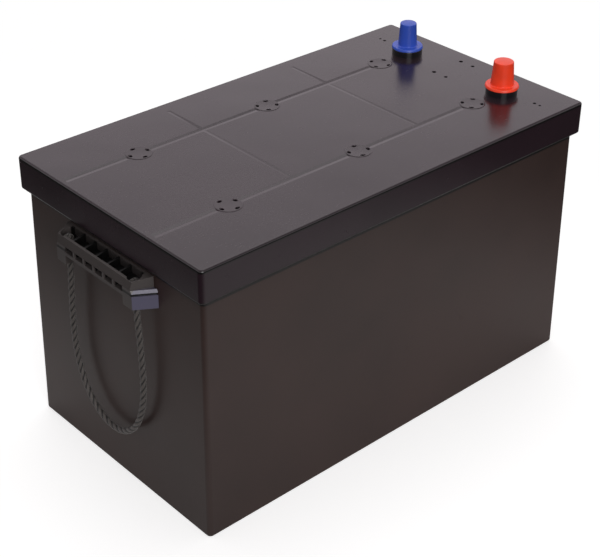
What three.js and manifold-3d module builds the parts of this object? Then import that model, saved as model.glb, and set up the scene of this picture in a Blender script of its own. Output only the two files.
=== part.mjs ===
// Deep cycle battery: a sealed twelve volt monobloc with a rope handle at each end.
// Units are millimetres. +X runs along the case towards the terminals, +Y towards the negative
// terminal, +Z up. The origin is the middle of the base.
import * as THREE from 'three';
import { mergeVertices } from 'three/addons/utils/BufferGeometryUtils.js';
import Module from 'manifold-3d';

const wasm = await Module();
wasm.setup();

// Lid and case
const LID_LENGTH = 518;
const LID_WIDTH = 288;
const LID_TOP = 305;
const LID_ROOF = 5;
const LID_BEVEL = 1.5;
const SKIRT_HEIGHT = 36;
const SKIRT_OVERHANG = 6.5;
const CORNER_RADIUS = 5;
const LAND_HEIGHT = 8;
const SOCKET_CLEARANCE = 0.6;
const CASE_FLOOR = 5;
const CASE_WALL = 4.5;
const BASE_SPREAD = 3.5;
const PARTITION = 3;
const GAP = 0.3;
const HALF_LENGTH = LID_LENGTH / 2 - SKIRT_OVERHANG;
const HALF_WIDTH = LID_WIDTH / 2 - SKIRT_OVERHANG;
const ROOF_UNDERSIDE = LID_TOP - LID_ROOF;
const LAND_UNDERSIDE = ROOF_UNDERSIDE - LAND_HEIGHT;
const RIM_TOP = LAND_UNDERSIDE - GAP;
const SKIRT_BOTTOM = LID_TOP - SKIRT_HEIGHT;

// Six cells, three along X and two along Y, in the order the current runs through them
const CELL_X = (2 * (HALF_LENGTH - CASE_WALL) - 2 * PARTITION) / 3;
const CELL_Y = (2 * (HALF_WIDTH - CASE_WALL) - PARTITION) / 2;
const PITCH_X = CELL_X + PARTITION;
const CELL_MIDDLE_Y = (CELL_Y + PARTITION) / 2;
const CELLS = [
  { number: 1, column: 1, row: 1 },
  { number: 2, column: 0, row: 1 },
  { number: 3, column: -1, row: 1 },
  { number: 4, column: -1, row: -1 },
  { number: 5, column: 0, row: -1 },
  { number: 6, column: 1, row: -1 },
];

// Plate stack of one cell: negative plates outside and between the positive ones
const PLATE_PAIRS = 7;
const PLATE_WIDTH = 146;
const POSITIVE_PLATE = 4.6;
const NEGATIVE_PLATE = 3.4;
const PLATE_PITCH = 8.6;
const SEPARATOR = 3.6;
const SEPARATOR_WIDTH = 157;
const SEPARATOR_OVERLAP = 4;
const REST_HEIGHT = 9;
const REST_WIDTH = 4;
const REST_SPACING = 52;
const PLATE_BOTTOM = CASE_FLOOR + REST_HEIGHT + GAP;
const PLATE_TOP = 228;
const LUG_WIDTH = 14;
const LUG_MIDDLE = 50;
const STRAP_BOTTOM = 242;
const STRAP_TOP = 252;
const STRAP_WIDTH = 24;
const STRAP_END = 4;
const LINK_RADIUS = 7;
const LINK_HOLE_RADIUS = 8.5;
const LINK_HEIGHT = 262;
const WELD_PLATE = 6;
const WELD_PLATE_GAP = 1.5;
const WELD_PLATE_TOP = 270;

// Terminals: a tapered lead sleeve moulded into the lid, and the pillar inside it
const TERMINAL_X = 211;
const TERMINAL_Y = 70.5;
const TURRET_RADIUS = 16.8;
const TURRET_TOP = LID_TOP + 7;
const SLEEVE_TOP = TURRET_TOP + 25;
const SLEEVE_TAPER = 1.4;
const SLEEVE_FLANGE = 13;
const SLEEVE_FLANGE_BOTTOM = 294;
const SLEEVE_FLANGE_TOP = 298.7;
const SEAL_DEPTH = 2.5;
const SEAL_RADIUS = 13.5;
const CAP_BOTTOM = TURRET_TOP + GAP;
const CAP_TOP = CAP_BOTTOM + 29.9;
const CAP_FLANGE = 3;
const CAP_ROOF = 1.8;
const CAP_WALL = 1.2;
const CAP_ROUNDING = 2.6;
const TERMINALS = [
  { name: 'negative', side: 1, sleeve: 8.95, pillar: 5.8, flange: 17, base: 10.6, top: 9.8 },
  { name: 'positive', side: -1, sleeve: 9.75, pillar: 6.6, flange: 17.8, base: 12.6, top: 11.3 },
];

// Vent plugs: flush screw plugs with four pin holes, a sealing ring and a rubber valve cap.
// Their heights are measured from the lid's top.
const VENT_Y = 69;
const PLUG_RADIUS = 13.6;
const PLUG_HEAD = -3.4;
const PLUG_STEM = 9.9;
const PLUG_BOTTOM = -20;
const PLUG_HOLLOW = 6.2;
const PLUG_HOLLOW_TOP = -6;
const NIPPLE_RADIUS = 3.2;
const NIPPLE_BOTTOM = -15;
const PIN_HOLES = 4;
const PIN_CIRCLE = 11.2;
const PIN_RADIUS = 1.7;
const PIN_DEPTH = 2.2;
const PLUG_TURNS = [20, 58, 0, 14, 71, 38];
const PLUG_SIDES = 16;
const BORE_SIDES = 20;
const BOSS_RADIUS = 17.5;
const BOSS_BOTTOM = LID_TOP - 22;
const BORE_RADIUS = 10.3;
const COUNTERBORE_RADIUS = 14.1;
const COUNTERBORE_DEPTH = 5.8;
const RING_INNER = 10.4;
const RING_OUTER = 12.8;
const RING_TOP = -3.7;
const RING_BOTTOM = -5.5;
const VALVE_RADIUS = 5.6;
const VALVE_INNER = 3.5;
const VALVE_TOP = -7;
const VALVE_BOTTOM = -17;

// Small blind holes in the lid near the terminals, as [x, y, radius], and two fine mould lines
const LID_HOLES = [
  [195.3, 13.5, 1.8], [238.8, 13.5, 1.8], [195.3, -4.1, 1.8], [238.8, -4.1, 1.8],
  [216.5, 112, 1.3], [216.5, 119, 1.3], [216.5, -112, 1.3], [216.5, -119, 1.3],
];
const LID_HOLE_DEPTH = 2;
const LINE_WIDTH = 1.2;
const LINE_DEPTH = 0.4;
const LINE_MARGIN = 6;

// Rope handles, drawn for the +X end and turned round for the other one
const BRACKET_BACK = 253.4;
const BRACKET_FRONT = 274;
const BRACKET_BOTTOM = 231;
const BRACKET_TOP = 262.5;
const BLOCK_BACK_HALF = 73;
const BLOCK_FRONT_HALF = 60;
const BLOCK_TOP = 251;
const BLOCK_INNER = 46;
const BAR_BOTTOM = 241;
const BAR_TOP = 244.5;
const SLOT_BACK = 261;
const TRAY_BACK_HALF = 67;
const TRAY_FRONT_HALF = 58;
const TRAY_FRONT_TOP = 259.6;
const TRAY_LEAN = 2;
const TROUGH_FLOOR = 254;
const TROUGH_BACK = 256;
const TROUGH_FRONT = 269.5;
const TROUGH_HALF = 54;
const BRACKET_POCKETS = 6;
const BRACKET_RIB = 2.5;
const ROPE_X = 264.5;
const ROPE_EXIT_Y = 53;
const ROPE_RADIUS = 3.25;
const ROPE_HOLE = 3.9;
const ROPE_STEPS = 32;
const ROPE_SIDES = 8;
const KNOT_SEAT = 246;
const KNOT_POCKET = 7;
const KNOT_RADIUS = 6;
// The hanging loop as [y, z], from one exit to the lowest point; the other half mirrors it
const ROPE_HALF_ROUTE = [
  [53, 230.7], [53.4, 222], [54.6, 205], [56, 185], [57, 165], [57.2, 146],
  [56, 128], [52.6, 110], [46.6, 93.5], [37.6, 79], [26, 68], [13.4, 61.6],
];
const ROPE_LOWEST = [0, 59.6];

const FINISHES = {
  case: { color: 0x423f40, roughness: 0.42, metalness: 0 },
  lid: { color: 0x5e595c, roughness: 0.4, metalness: 0 },
  plug: { color: 0x575255, roughness: 0.45, metalness: 0 },
  seal: { color: 0x1a1a1c, roughness: 0.8, metalness: 0 },
  lead: { color: 0x8a8c90, roughness: 0.5, metalness: 0.85 },
  positivePlate: { color: 0x5a3a2c, roughness: 0.9, metalness: 0.1 },
  negativePlate: { color: 0x77797c, roughness: 0.85, metalness: 0.3 },
  glassMat: { color: 0xe6e4dc, roughness: 0.95, metalness: 0 },
  positiveCap: { color: 0xdb3e2c, roughness: 0.35, metalness: 0 },
  negativeCap: { color: 0x314997, roughness: 0.35, metalness: 0 },
  bracket: { color: 0x343435, roughness: 0.5, metalness: 0 },
  rope: { color: 0x2e2c2c, roughness: 0.85, metalness: 0 },
};

// A solid for joining and cutting, from the closed surface of a geometry
function solid(geometry) {
  const source = geometry.index ? geometry.toNonIndexed() : geometry;
  source.deleteAttribute('normal');
  source.deleteAttribute('uv');
  const merged = mergeVertices(source, 1e-4);
  const corners = merged.index.array;
  const at = (i) => new THREE.Vector3().fromBufferAttribute(merged.attributes.position, i);
  const faces = [];
  let volume = 0;
  for (let i = 0; i < corners.length; i += 3) {
    const [a, b, c] = [corners[i], corners[i + 1], corners[i + 2]];
    if (a !== b && b !== c && c !== a) {
      faces.push(a, b, c);
      volume += at(a).dot(at(b).cross(at(c)));
    }
  }
  if (volume < 0) faces.reverse();
  return new wasm.Manifold(new wasm.Mesh({
    numProp: 3,
    vertProperties: new Float32Array(merged.attributes.position.array),
    triVerts: new Uint32Array(faces),
  }));
}

function geometryOf(shape) {
  const mesh = shape.getMesh();
  const geometry = new THREE.BufferGeometry();
  geometry.setAttribute('position', new THREE.BufferAttribute(mesh.vertProperties, 3));
  geometry.setIndex(new THREE.BufferAttribute(mesh.triVerts, 1));
  geometry.computeVertexNormals();
  return geometry;
}

function joined(shapes) {
  return shapes.reduce((all, shape) => all.add(shape));
}

function cut(shape, tools) {
  return tools.reduce((left, tool) => left.subtract(tool), shape);
}

// A box between two corners, given in either order
function box(x0, x1, y0, y1, z0, z1) {
  const geometry = new THREE.BoxGeometry(Math.abs(x1 - x0), Math.abs(y1 - y0), Math.abs(z1 - z0));
  geometry.translate((x0 + x1) / 2, (y0 + y1) / 2, (z0 + z1) / 2);
  return solid(geometry);
}

function rod(x, y, radius, z0, z1, sides = BORE_SIDES) {
  const geometry = new THREE.CylinderGeometry(radius, radius, z1 - z0, sides);
  geometry.rotateX(Math.PI / 2);
  geometry.translate(x, y, (z0 + z1) / 2);
  return solid(geometry);
}

// Turns a [radius, z] outline about the vertical line through x, y. It starts and ends on the axis,
// or it is a ring's section, which is closed here.
function turned(outline, sides, x = 0, y = 0) {
  const isRing = outline[0][0] > 0;
  const closed = isRing ? [...outline, outline[0]] : outline;
  const points = closed.map(([radius, z]) => new THREE.Vector2(radius, z));
  const geometry = new THREE.LatheGeometry(points, sides);
  geometry.rotateX(Math.PI / 2);
  geometry.translate(x, y, 0);
  return solid(geometry);
}

function shapeOf(outline) {
  return new THREE.Shape(outline.map(([u, v]) => new THREE.Vector2(u, v)));
}

// An upright prism. Its top can be drawn in, or its base spread, by moving each side the same way.
function prism(outline, z0, z1, baseSpread = 0, topSpread = 0) {
  const geometry = new THREE.ExtrudeGeometry(shapeOf(outline), { depth: 1, bevelEnabled: false });
  const position = geometry.getAttribute('position');
  for (let i = 0; i < position.count; i += 1) {
    const share = position.getZ(i);
    const spread = baseSpread * (1 - share) + topSpread * share;
    position.setX(i, position.getX(i) + Math.sign(position.getX(i)) * spread);
    position.setY(i, position.getY(i) + Math.sign(position.getY(i)) * spread);
    position.setZ(i, z0 + (z1 - z0) * share);
  }
  return solid(geometry);
}

function roundedOutline(halfX, halfY, radius, steps = 3) {
  const points = [];
  for (let corner = 0; corner < 4; corner += 1) {
    const signX = corner === 0 || corner === 3 ? 1 : -1;
    const signY = corner < 2 ? 1 : -1;
    for (let step = 0; step <= steps; step += 1) {
      const angle = (corner + step / steps) * (Math.PI / 2);
      const x = signX * (halfX - radius) + radius * Math.cos(angle);
      const y = signY * (halfY - radius) + radius * Math.sin(angle);
      points.push([x, y]);
    }
  }
  return points;
}

const cellX = (cell) => cell.column * PITCH_X;
const cellY = (cell) => cell.row * CELL_MIDDLE_Y;
const ventY = (cell) => cell.row * VENT_Y;

function cellSpace(cell, z0, z1) {
  const [x, y] = [cellX(cell), cellY(cell)];
  return box(x - CELL_X / 2, x + CELL_X / 2, y - CELL_Y / 2, y + CELL_Y / 2, z0, z1);
}

// Link number i is a weld through the partition between two cells that follow each other
function linkPlace(i) {
  const [from, to] = [CELLS[i], CELLS[i + 1]];
  const crossesRows = from.row !== to.row;
  if (crossesRows) return { x: cellX(from) - LUG_MIDDLE, y: 0, alongY: true };
  return { x: (cellX(from) + cellX(to)) / 2, y: cellY(from), alongY: false };
}

function linkRod(i, radius, length) {
  const { x, y, alongY } = linkPlace(i);
  const geometry = new THREE.CylinderGeometry(radius, radius, length, 12);
  if (!alongY) geometry.rotateZ(Math.PI / 2);
  geometry.translate(x, y, LINK_HEIGHT);
  return solid(geometry);
}

function cellLink(i) {
  return linkRod(i, LINK_RADIUS, PARTITION + 2 * (WELD_PLATE_GAP - GAP));
}

// Open box with six compartments; low ribs across each floor carry the plates
function container() {
  const outline = roundedOutline(HALF_LENGTH, HALF_WIDTH, CORNER_RADIUS);
  const block = prism(outline, 0, RIM_TOP, BASE_SPREAD);
  const hollows = CELLS.map((cell) => cellSpace(cell, CASE_FLOOR, RIM_TOP + 1));
  const ribs = CELLS.flatMap((cell) => [-1, 0, 1].map((side) => {
    const x = cellX(cell) + side * REST_SPACING;
    const reach = CELL_Y / 2 + 1;
    return box(
      x - REST_WIDTH / 2, x + REST_WIDTH / 2, cellY(cell) - reach, cellY(cell) + reach,
      CASE_FLOOR - 1, CASE_FLOOR + REST_HEIGHT,
    );
  }));
  const holes = [0, 1, 2, 3, 4].map((i) => linkRod(i, LINK_HOLE_RADIUS, PARTITION + 2));
  return cut(joined([cut(block, hollows), ...ribs]), holes);
}

function lidShell() {
  const outline = roundedOutline(LID_LENGTH / 2, LID_WIDTH / 2, CORNER_RADIUS);
  const socket = prism(
    roundedOutline(HALF_LENGTH + SOCKET_CLEARANCE, HALF_WIDTH + SOCKET_CLEARANCE, CORNER_RADIUS),
    SKIRT_BOTTOM - 1, LAND_UNDERSIDE,
  );
  const headspaces = CELLS.map((cell) => cellSpace(cell, LAND_UNDERSIDE - 1, ROOF_UNDERSIDE));
  const walls = prism(outline, SKIRT_BOTTOM, LID_TOP - LID_BEVEL);
  const edge = prism(outline, LID_TOP - LID_BEVEL, LID_TOP, 0, -LID_BEVEL);
  return cut(walls.add(edge), [socket, ...headspaces]);
}

function ventBore(cell) {
  const [x, y] = [cellX(cell), ventY(cell)];
  return [
    rod(x, y, BORE_RADIUS, BOSS_BOTTOM - 1, LID_TOP),
    rod(x, y, COUNTERBORE_RADIUS, LID_TOP - COUNTERBORE_DEPTH, LID_TOP + 1),
  ];
}

function terminalBore({ side, sleeve }) {
  const y = side * TERMINAL_Y;
  return [
    rod(TERMINAL_X, y, sleeve + GAP, LAND_UNDERSIDE - 1, TURRET_TOP),
    rod(TERMINAL_X, y, SLEEVE_FLANGE + GAP, LAND_UNDERSIDE - 1, SLEEVE_FLANGE_TOP + GAP),
    rod(TERMINAL_X, y, SEAL_RADIUS + GAP, TURRET_TOP - SEAL_DEPTH, TURRET_TOP + 1),
  ];
}

function mouldLine(side) {
  const y = side * VENT_Y;
  return box(
    LINE_MARGIN - LID_LENGTH / 2, PITCH_X, y - LINE_WIDTH / 2, y + LINE_WIDTH / 2,
    LID_TOP - LINE_DEPTH, LID_TOP + 1,
  );
}

function lid() {
  const bosses = CELLS.map((cell) => rod(
    cellX(cell), ventY(cell), BOSS_RADIUS, BOSS_BOTTOM, ROOF_UNDERSIDE + 1,
  ));
  const turrets = TERMINALS.map(({ side }) => rod(
    TERMINAL_X, side * TERMINAL_Y, TURRET_RADIUS, LAND_UNDERSIDE, TURRET_TOP, 24,
  ));
  const smallHoles = LID_HOLES.map(([x, y, radius]) => rod(
    x, y, radius, LID_TOP - LID_HOLE_DEPTH, LID_TOP + 1, 8,
  ));
  return cut(joined([lidShell(), ...bosses, ...turrets]), [
    ...[-1, 1].map(mouldLine),
    ...CELLS.flatMap(ventBore),
    ...TERMINALS.flatMap(terminalBore),
    ...smallHoles,
  ]);
}

// Plate number i of the stack stands at this distance from the middle of its cell
const plateOffset = (i) => (i - PLATE_PAIRS) * PLATE_PITCH;
const NEGATIVE_PLACES = Array.from({ length: PLATE_PAIRS + 1 }, (_, i) => 2 * i);
const POSITIVE_PLACES = Array.from({ length: PLATE_PAIRS }, (_, i) => 2 * i + 1);

// The current enters each cell at the side where its row begins, seen from the negative terminal
const negativeSide = (cell) => cell.row;
const positiveSide = (cell) => -cell.row;

function plate(cell, place, thickness, side) {
  const half = PLATE_WIDTH / 2;
  const [near, far] = [side * LUG_MIDDLE - LUG_WIDTH / 2, side * LUG_MIDDLE + LUG_WIDTH / 2];
  const outline = [
    [-half, PLATE_BOTTOM], [half, PLATE_BOTTOM], [half, PLATE_TOP], [far, PLATE_TOP],
    [far, STRAP_BOTTOM + 1], [near, STRAP_BOTTOM + 1], [near, PLATE_TOP], [-half, PLATE_TOP],
  ];
  const options = { depth: thickness, bevelEnabled: false };
  const geometry = new THREE.ExtrudeGeometry(shapeOf(outline), options);
  geometry.rotateX(Math.PI / 2);
  geometry.translate(cellX(cell), cellY(cell) + plateOffset(place) + thickness / 2, 0);
  return solid(geometry);
}

function strap(cell, places, side) {
  const x = cellX(cell) + side * LUG_MIDDLE;
  const first = cellY(cell) + plateOffset(places[0]) - STRAP_END;
  const last = cellY(cell) + plateOffset(places.at(-1)) + STRAP_END;
  return box(x - STRAP_WIDTH / 2, x + STRAP_WIDTH / 2, first, last, STRAP_BOTTOM, STRAP_TOP);
}

// Where link i leaves a strap, an arm runs to the partition and an upright weld plate stands there
function weldPlate(cell, side, i) {
  const half = STRAP_WIDTH / 2;
  const x = cellX(cell) + side * LUG_MIDDLE;
  if (linkPlace(i).alongY) {
    const face = cell.row * (PARTITION / 2 + WELD_PLATE_GAP);
    const arm = box(x - half, x + half, face, cellY(cell), STRAP_BOTTOM, STRAP_TOP);
    const back = face + cell.row * WELD_PLATE;
    return arm.add(box(x - half, x + half, face, back, STRAP_BOTTOM, WELD_PLATE_TOP));
  }
  const face = cellX(cell) + side * (CELL_X / 2 - WELD_PLATE_GAP);
  const [y0, y1] = [cellY(cell) - half, cellY(cell) + half];
  const arm = box(x, face, y0, y1, STRAP_BOTTOM, STRAP_TOP);
  return arm.add(box(face - side * WELD_PLATE, face, y0, y1, STRAP_BOTTOM, WELD_PLATE_TOP));
}

function plateGroup(cell, places, thickness, side, link) {
  const plates = places.map((place) => plate(cell, place, thickness, side));
  const group = joined([strap(cell, places, side), ...plates]);
  const isLinked = link >= 0 && link < CELLS.length - 1;
  return isLinked ? group.add(weldPlate(cell, side, link)) : group;
}

const positiveGroup = (cell) => (
  plateGroup(cell, POSITIVE_PLACES, POSITIVE_PLATE, positiveSide(cell), cell.number - 1)
);
const negativeGroup = (cell) => (
  plateGroup(cell, NEGATIVE_PLACES, NEGATIVE_PLATE, negativeSide(cell), cell.number - 2)
);

// The outline of a strip of even width along a line of right-angled corners
function stripOutline(points, halfWidth) {
  const normals = points.slice(1).map((point, i) => {
    const [dx, dy] = [point[0] - points[i][0], point[1] - points[i][1]];
    const length = Math.hypot(dx, dy);
    return [-dy / length, dx / length];
  });
  const offset = (i, sign) => {
    const [a, b] = [normals[Math.max(i - 1, 0)], normals[Math.min(i, normals.length - 1)]];
    const scale = (sign * halfWidth) / (1 + a[0] * b[0] + a[1] * b[1]);
    return [points[i][0] + (a[0] + b[0]) * scale, points[i][1] + (a[1] + b[1]) * scale];
  };
  const left = points.map((_, i) => offset(i, 1));
  const right = points.map((_, i) => offset(i, -1)).reverse();
  return [...left, ...right];
}

// One glass mat, folded to and fro through the stack round the end of every inner plate
function separator(cell) {
  const reach = (SEPARATOR_WIDTH - SEPARATOR) / 2;
  const line = [];
  for (let leg = 0; leg < 2 * PLATE_PAIRS; leg += 1) {
    const y = cellY(cell) + plateOffset(leg + 0.5);
    const direction = leg % 2 === 0 ? 1 : -1;
    line.push([cellX(cell) - direction * reach, y], [cellX(cell) + direction * reach, y]);
  }
  const outline = stripOutline(line, SEPARATOR / 2);
  return prism(outline, PLATE_BOTTOM, PLATE_TOP + SEPARATOR_OVERLAP);
}

function sleeve({ side, sleeve: radius, pillar }) {
  const outline = [
    [pillar + GAP, SLEEVE_FLANGE_BOTTOM], [SLEEVE_FLANGE, SLEEVE_FLANGE_BOTTOM],
    [SLEEVE_FLANGE, SLEEVE_FLANGE_TOP], [radius, SLEEVE_FLANGE_TOP],
    [radius, TURRET_TOP], [radius - SLEEVE_TAPER, SLEEVE_TOP], [pillar + GAP, SLEEVE_TOP],
  ];
  return turned(outline, 20, TERMINAL_X, side * TERMINAL_Y);
}

function pillar({ side, pillar: radius }) {
  return rod(TERMINAL_X, side * TERMINAL_Y, radius, STRAP_TOP + GAP, SLEEVE_TOP, 16);
}

function terminalSeal({ side, sleeve: radius }) {
  const [bottom, top] = [TURRET_TOP - SEAL_DEPTH + GAP, TURRET_TOP];
  const [inner, outer] = [radius + GAP, SEAL_RADIUS];
  const outline = [[inner, bottom], [outer, bottom], [outer, top], [inner, top]];
  return turned(outline, 20, TERMINAL_X, side * TERMINAL_Y);
}

function terminalCap({ side, flange, base, top }) {
  const shoulder = [0, 1, 2, 3].map((step) => {
    const angle = (step / 3) * (Math.PI / 2);
    return [
      top - CAP_ROUNDING * (1 - Math.sin(angle)), CAP_TOP - CAP_ROUNDING * (1 - Math.cos(angle)),
    ];
  });
  const outline = [
    [0, CAP_TOP], ...shoulder, [base, CAP_BOTTOM + CAP_FLANGE],
    [flange, CAP_BOTTOM + CAP_FLANGE], [flange, CAP_BOTTOM],
    [base - CAP_WALL, CAP_BOTTOM], [top - CAP_WALL, CAP_TOP - CAP_ROOF], [0, CAP_TOP - CAP_ROOF],
  ];
  return turned(outline, 24, TERMINAL_X, side * TERMINAL_Y);
}

function ventPlug() {
  const body = turned([
    [0, 0], [PLUG_RADIUS, 0], [PLUG_RADIUS, PLUG_HEAD], [PLUG_STEM, PLUG_HEAD],
    [PLUG_STEM, PLUG_BOTTOM], [PLUG_HOLLOW, PLUG_BOTTOM], [PLUG_HOLLOW, PLUG_HOLLOW_TOP],
    [NIPPLE_RADIUS, PLUG_HOLLOW_TOP], [NIPPLE_RADIUS, NIPPLE_BOTTOM], [0, NIPPLE_BOTTOM],
  ], PLUG_SIDES);
  const holes = Array.from({ length: PIN_HOLES }, (_, i) => {
    const angle = (2 * Math.PI * i) / PIN_HOLES;
    const [x, y] = [PIN_CIRCLE * Math.cos(angle), PIN_CIRCLE * Math.sin(angle)];
    return rod(x, y, PIN_RADIUS, -PIN_DEPTH, 1, 6);
  });
  return cut(body, holes);
}

function ventRing() {
  const outline = [
    [RING_INNER, RING_BOTTOM], [RING_OUTER, RING_BOTTOM], [RING_OUTER, RING_TOP],
    [RING_INNER, RING_TOP],
  ];
  return turned(outline, PLUG_SIDES);
}

function ventValve() {
  const outline = [
    [0, VALVE_BOTTOM], [VALVE_RADIUS, VALVE_BOTTOM], [VALVE_RADIUS, VALVE_TOP],
    [VALVE_INNER, VALVE_TOP], [VALVE_INNER, NIPPLE_BOTTOM - GAP], [0, NIPPLE_BOTTOM - GAP],
  ];
  return turned(outline, 12);
}

// A row of equal pockets across the bracket, with thin ribs left standing between them
function pockets(half, x0, x1, z0, z1) {
  const pitch = (2 * half + BRACKET_RIB) / BRACKET_POCKETS;
  return Array.from({ length: BRACKET_POCKETS }, (_, i) => {
    const start = i * pitch - half;
    return box(x0, x1, start, start + pitch - BRACKET_RIB, z0, z1);
  });
}

// A prism that narrows from the back of the bracket to its front, seen from above
function wedgeBlock(backHalf, frontHalf, z0, z1) {
  return prism([
    [BRACKET_BACK, -backHalf], [BRACKET_FRONT, -frontHalf],
    [BRACKET_FRONT, frontHalf], [BRACKET_BACK, backHalf],
  ], z0, z1);
}

// The tray's side view, drawn along Y: its front leans back and its rim climbs towards the case
function traySection() {
  const outline = [
    [BRACKET_BACK, BLOCK_TOP - 1], [BRACKET_FRONT, BLOCK_TOP - 1], [BRACKET_FRONT, BLOCK_TOP],
    [BRACKET_FRONT - TRAY_LEAN, TRAY_FRONT_TOP], [BRACKET_BACK, BRACKET_TOP],
  ];
  const options = { depth: 2 * TRAY_BACK_HALF, bevelEnabled: false };
  const geometry = new THREE.ExtrudeGeometry(shapeOf(outline), options);
  geometry.rotateX(Math.PI / 2);
  geometry.translate(0, TRAY_BACK_HALF, 0);
  return solid(geometry);
}

function bracket() {
  const block = wedgeBlock(BLOCK_BACK_HALF, BLOCK_FRONT_HALF, BRACKET_BOTTOM, BLOCK_TOP);
  const tray = traySection().intersect(
    wedgeBlock(TRAY_BACK_HALF, TRAY_FRONT_HALF, BRACKET_BOTTOM, BRACKET_TOP),
  );
  const ropeWays = [-1, 1].flatMap((side) => [
    rod(ROPE_X, side * ROPE_EXIT_Y, ROPE_HOLE, BRACKET_BOTTOM - 1, KNOT_SEAT, 12),
    rod(ROPE_X, side * ROPE_EXIT_Y, KNOT_POCKET, KNOT_SEAT, BRACKET_TOP + 1, 12),
  ]);
  const underside = box(
    BRACKET_BACK - 1, BRACKET_FRONT + 1, -BLOCK_INNER, BLOCK_INNER, BRACKET_BOTTOM - 1, BAR_BOTTOM,
  );
  return cut(block.add(tray), [
    underside,
    ...pockets(BLOCK_INNER, SLOT_BACK, BRACKET_FRONT + 1, BAR_TOP, BLOCK_TOP),
    ...pockets(TROUGH_HALF, TROUGH_BACK, TROUGH_FRONT, TROUGH_FLOOR, BRACKET_TOP + 1),
    ...ropeWays,
  ]);
}

function ropeCurve() {
  const other = ROPE_HALF_ROUTE.map(([y, z]) => [-y, z]).reverse();
  const route = [...ROPE_HALF_ROUTE, ROPE_LOWEST, ...other];
  return new THREE.CatmullRomCurve3(route.map(([y, z]) => new THREE.Vector3(ROPE_X, y, z)));
}

function rope() {
  const section = Array.from({ length: ROPE_SIDES }, (_, i) => {
    const angle = (2 * Math.PI * i) / ROPE_SIDES;
    return [ROPE_RADIUS * Math.cos(angle), ROPE_RADIUS * Math.sin(angle)];
  });
  const options = { steps: ROPE_STEPS, extrudePath: ropeCurve(), bevelEnabled: false };
  return solid(new THREE.ExtrudeGeometry(shapeOf(section), options));
}

// The rope's end inside the bracket: it rises through the hole and is knotted over the seat
function knot(side) {
  const ball = new THREE.SphereGeometry(KNOT_RADIUS, 10, 7);
  ball.translate(ROPE_X, side * ROPE_EXIT_Y, KNOT_SEAT + GAP + KNOT_RADIUS);
  const tail = rod(ROPE_X, side * ROPE_EXIT_Y, ROPE_RADIUS, BRACKET_BOTTOM, KNOT_SEAT + 2, 8);
  return solid(ball).add(tail);
}

function named(name, shape, finish) {
  const mesh = new THREE.Mesh(geometryOf(shape), new THREE.MeshStandardMaterial(finish));
  mesh.name = name;
  return mesh;
}

function handle(end, turn) {
  const group = new THREE.Group();
  group.rotation.z = turn;
  group.add(
    named(`handle_bracket_${end}`, bracket(), FINISHES.bracket),
    named(`handle_rope_${end}`, rope(), FINISHES.rope),
    named(`rope_knot_${end}_left`, knot(1), FINISHES.rope),
    named(`rope_knot_${end}_right`, knot(-1), FINISHES.rope),
  );
  return group;
}

function cellParts(cell) {
  return [
    named(`positive_plates_${cell.number}`, positiveGroup(cell), FINISHES.positivePlate),
    named(`negative_plates_${cell.number}`, negativeGroup(cell), FINISHES.negativePlate),
    named(`separator_${cell.number}`, separator(cell), FINISHES.glassMat),
  ];
}

function ventParts(cell, i) {
  const group = new THREE.Group();
  group.position.set(cellX(cell), ventY(cell), LID_TOP);
  group.rotation.z = THREE.MathUtils.degToRad(PLUG_TURNS[i]);
  group.add(
    named(`vent_plug_${cell.number}`, ventPlug(), FINISHES.plug),
    named(`vent_ring_${cell.number}`, ventRing(), FINISHES.seal),
    named(`vent_valve_${cell.number}`, ventValve(), FINISHES.seal),
  );
  return group;
}

function terminalParts(terminal) {
  const capFinish = terminal.side > 0 ? FINISHES.negativeCap : FINISHES.positiveCap;
  return [
    named(`terminal_sleeve_${terminal.name}`, sleeve(terminal), FINISHES.lead),
    named(`terminal_pillar_${terminal.name}`, pillar(terminal), FINISHES.lead),
    named(`terminal_seal_${terminal.name}`, terminalSeal(terminal), FINISHES.seal),
    named(`terminal_cap_${terminal.name}`, terminalCap(terminal), capFinish),
  ];
}

const battery = new THREE.Group();
battery.add(
  named('container', container(), FINISHES.case),
  named('lid', lid(), FINISHES.lid),
  ...CELLS.flatMap(cellParts),
  ...[0, 1, 2, 3, 4].map((i) => named(`cell_link_${i + 1}`, cellLink(i), FINISHES.lead)),
  ...CELLS.map(ventParts),
  ...TERMINALS.flatMap(terminalParts),
  handle('plain_end', Math.PI),
  handle('terminal_end', 0),
);

export default battery;
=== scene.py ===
"""A sealed deep cycle battery with capped posts and rope handles, finished round its frame."""
import math

import bmesh
import bpy
from bpy.props import FloatProperty, FloatVectorProperty, IntProperty, PointerProperty
from mathutils import Matrix, Vector
from mathutils.geometry import interpolate_bezier


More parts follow.
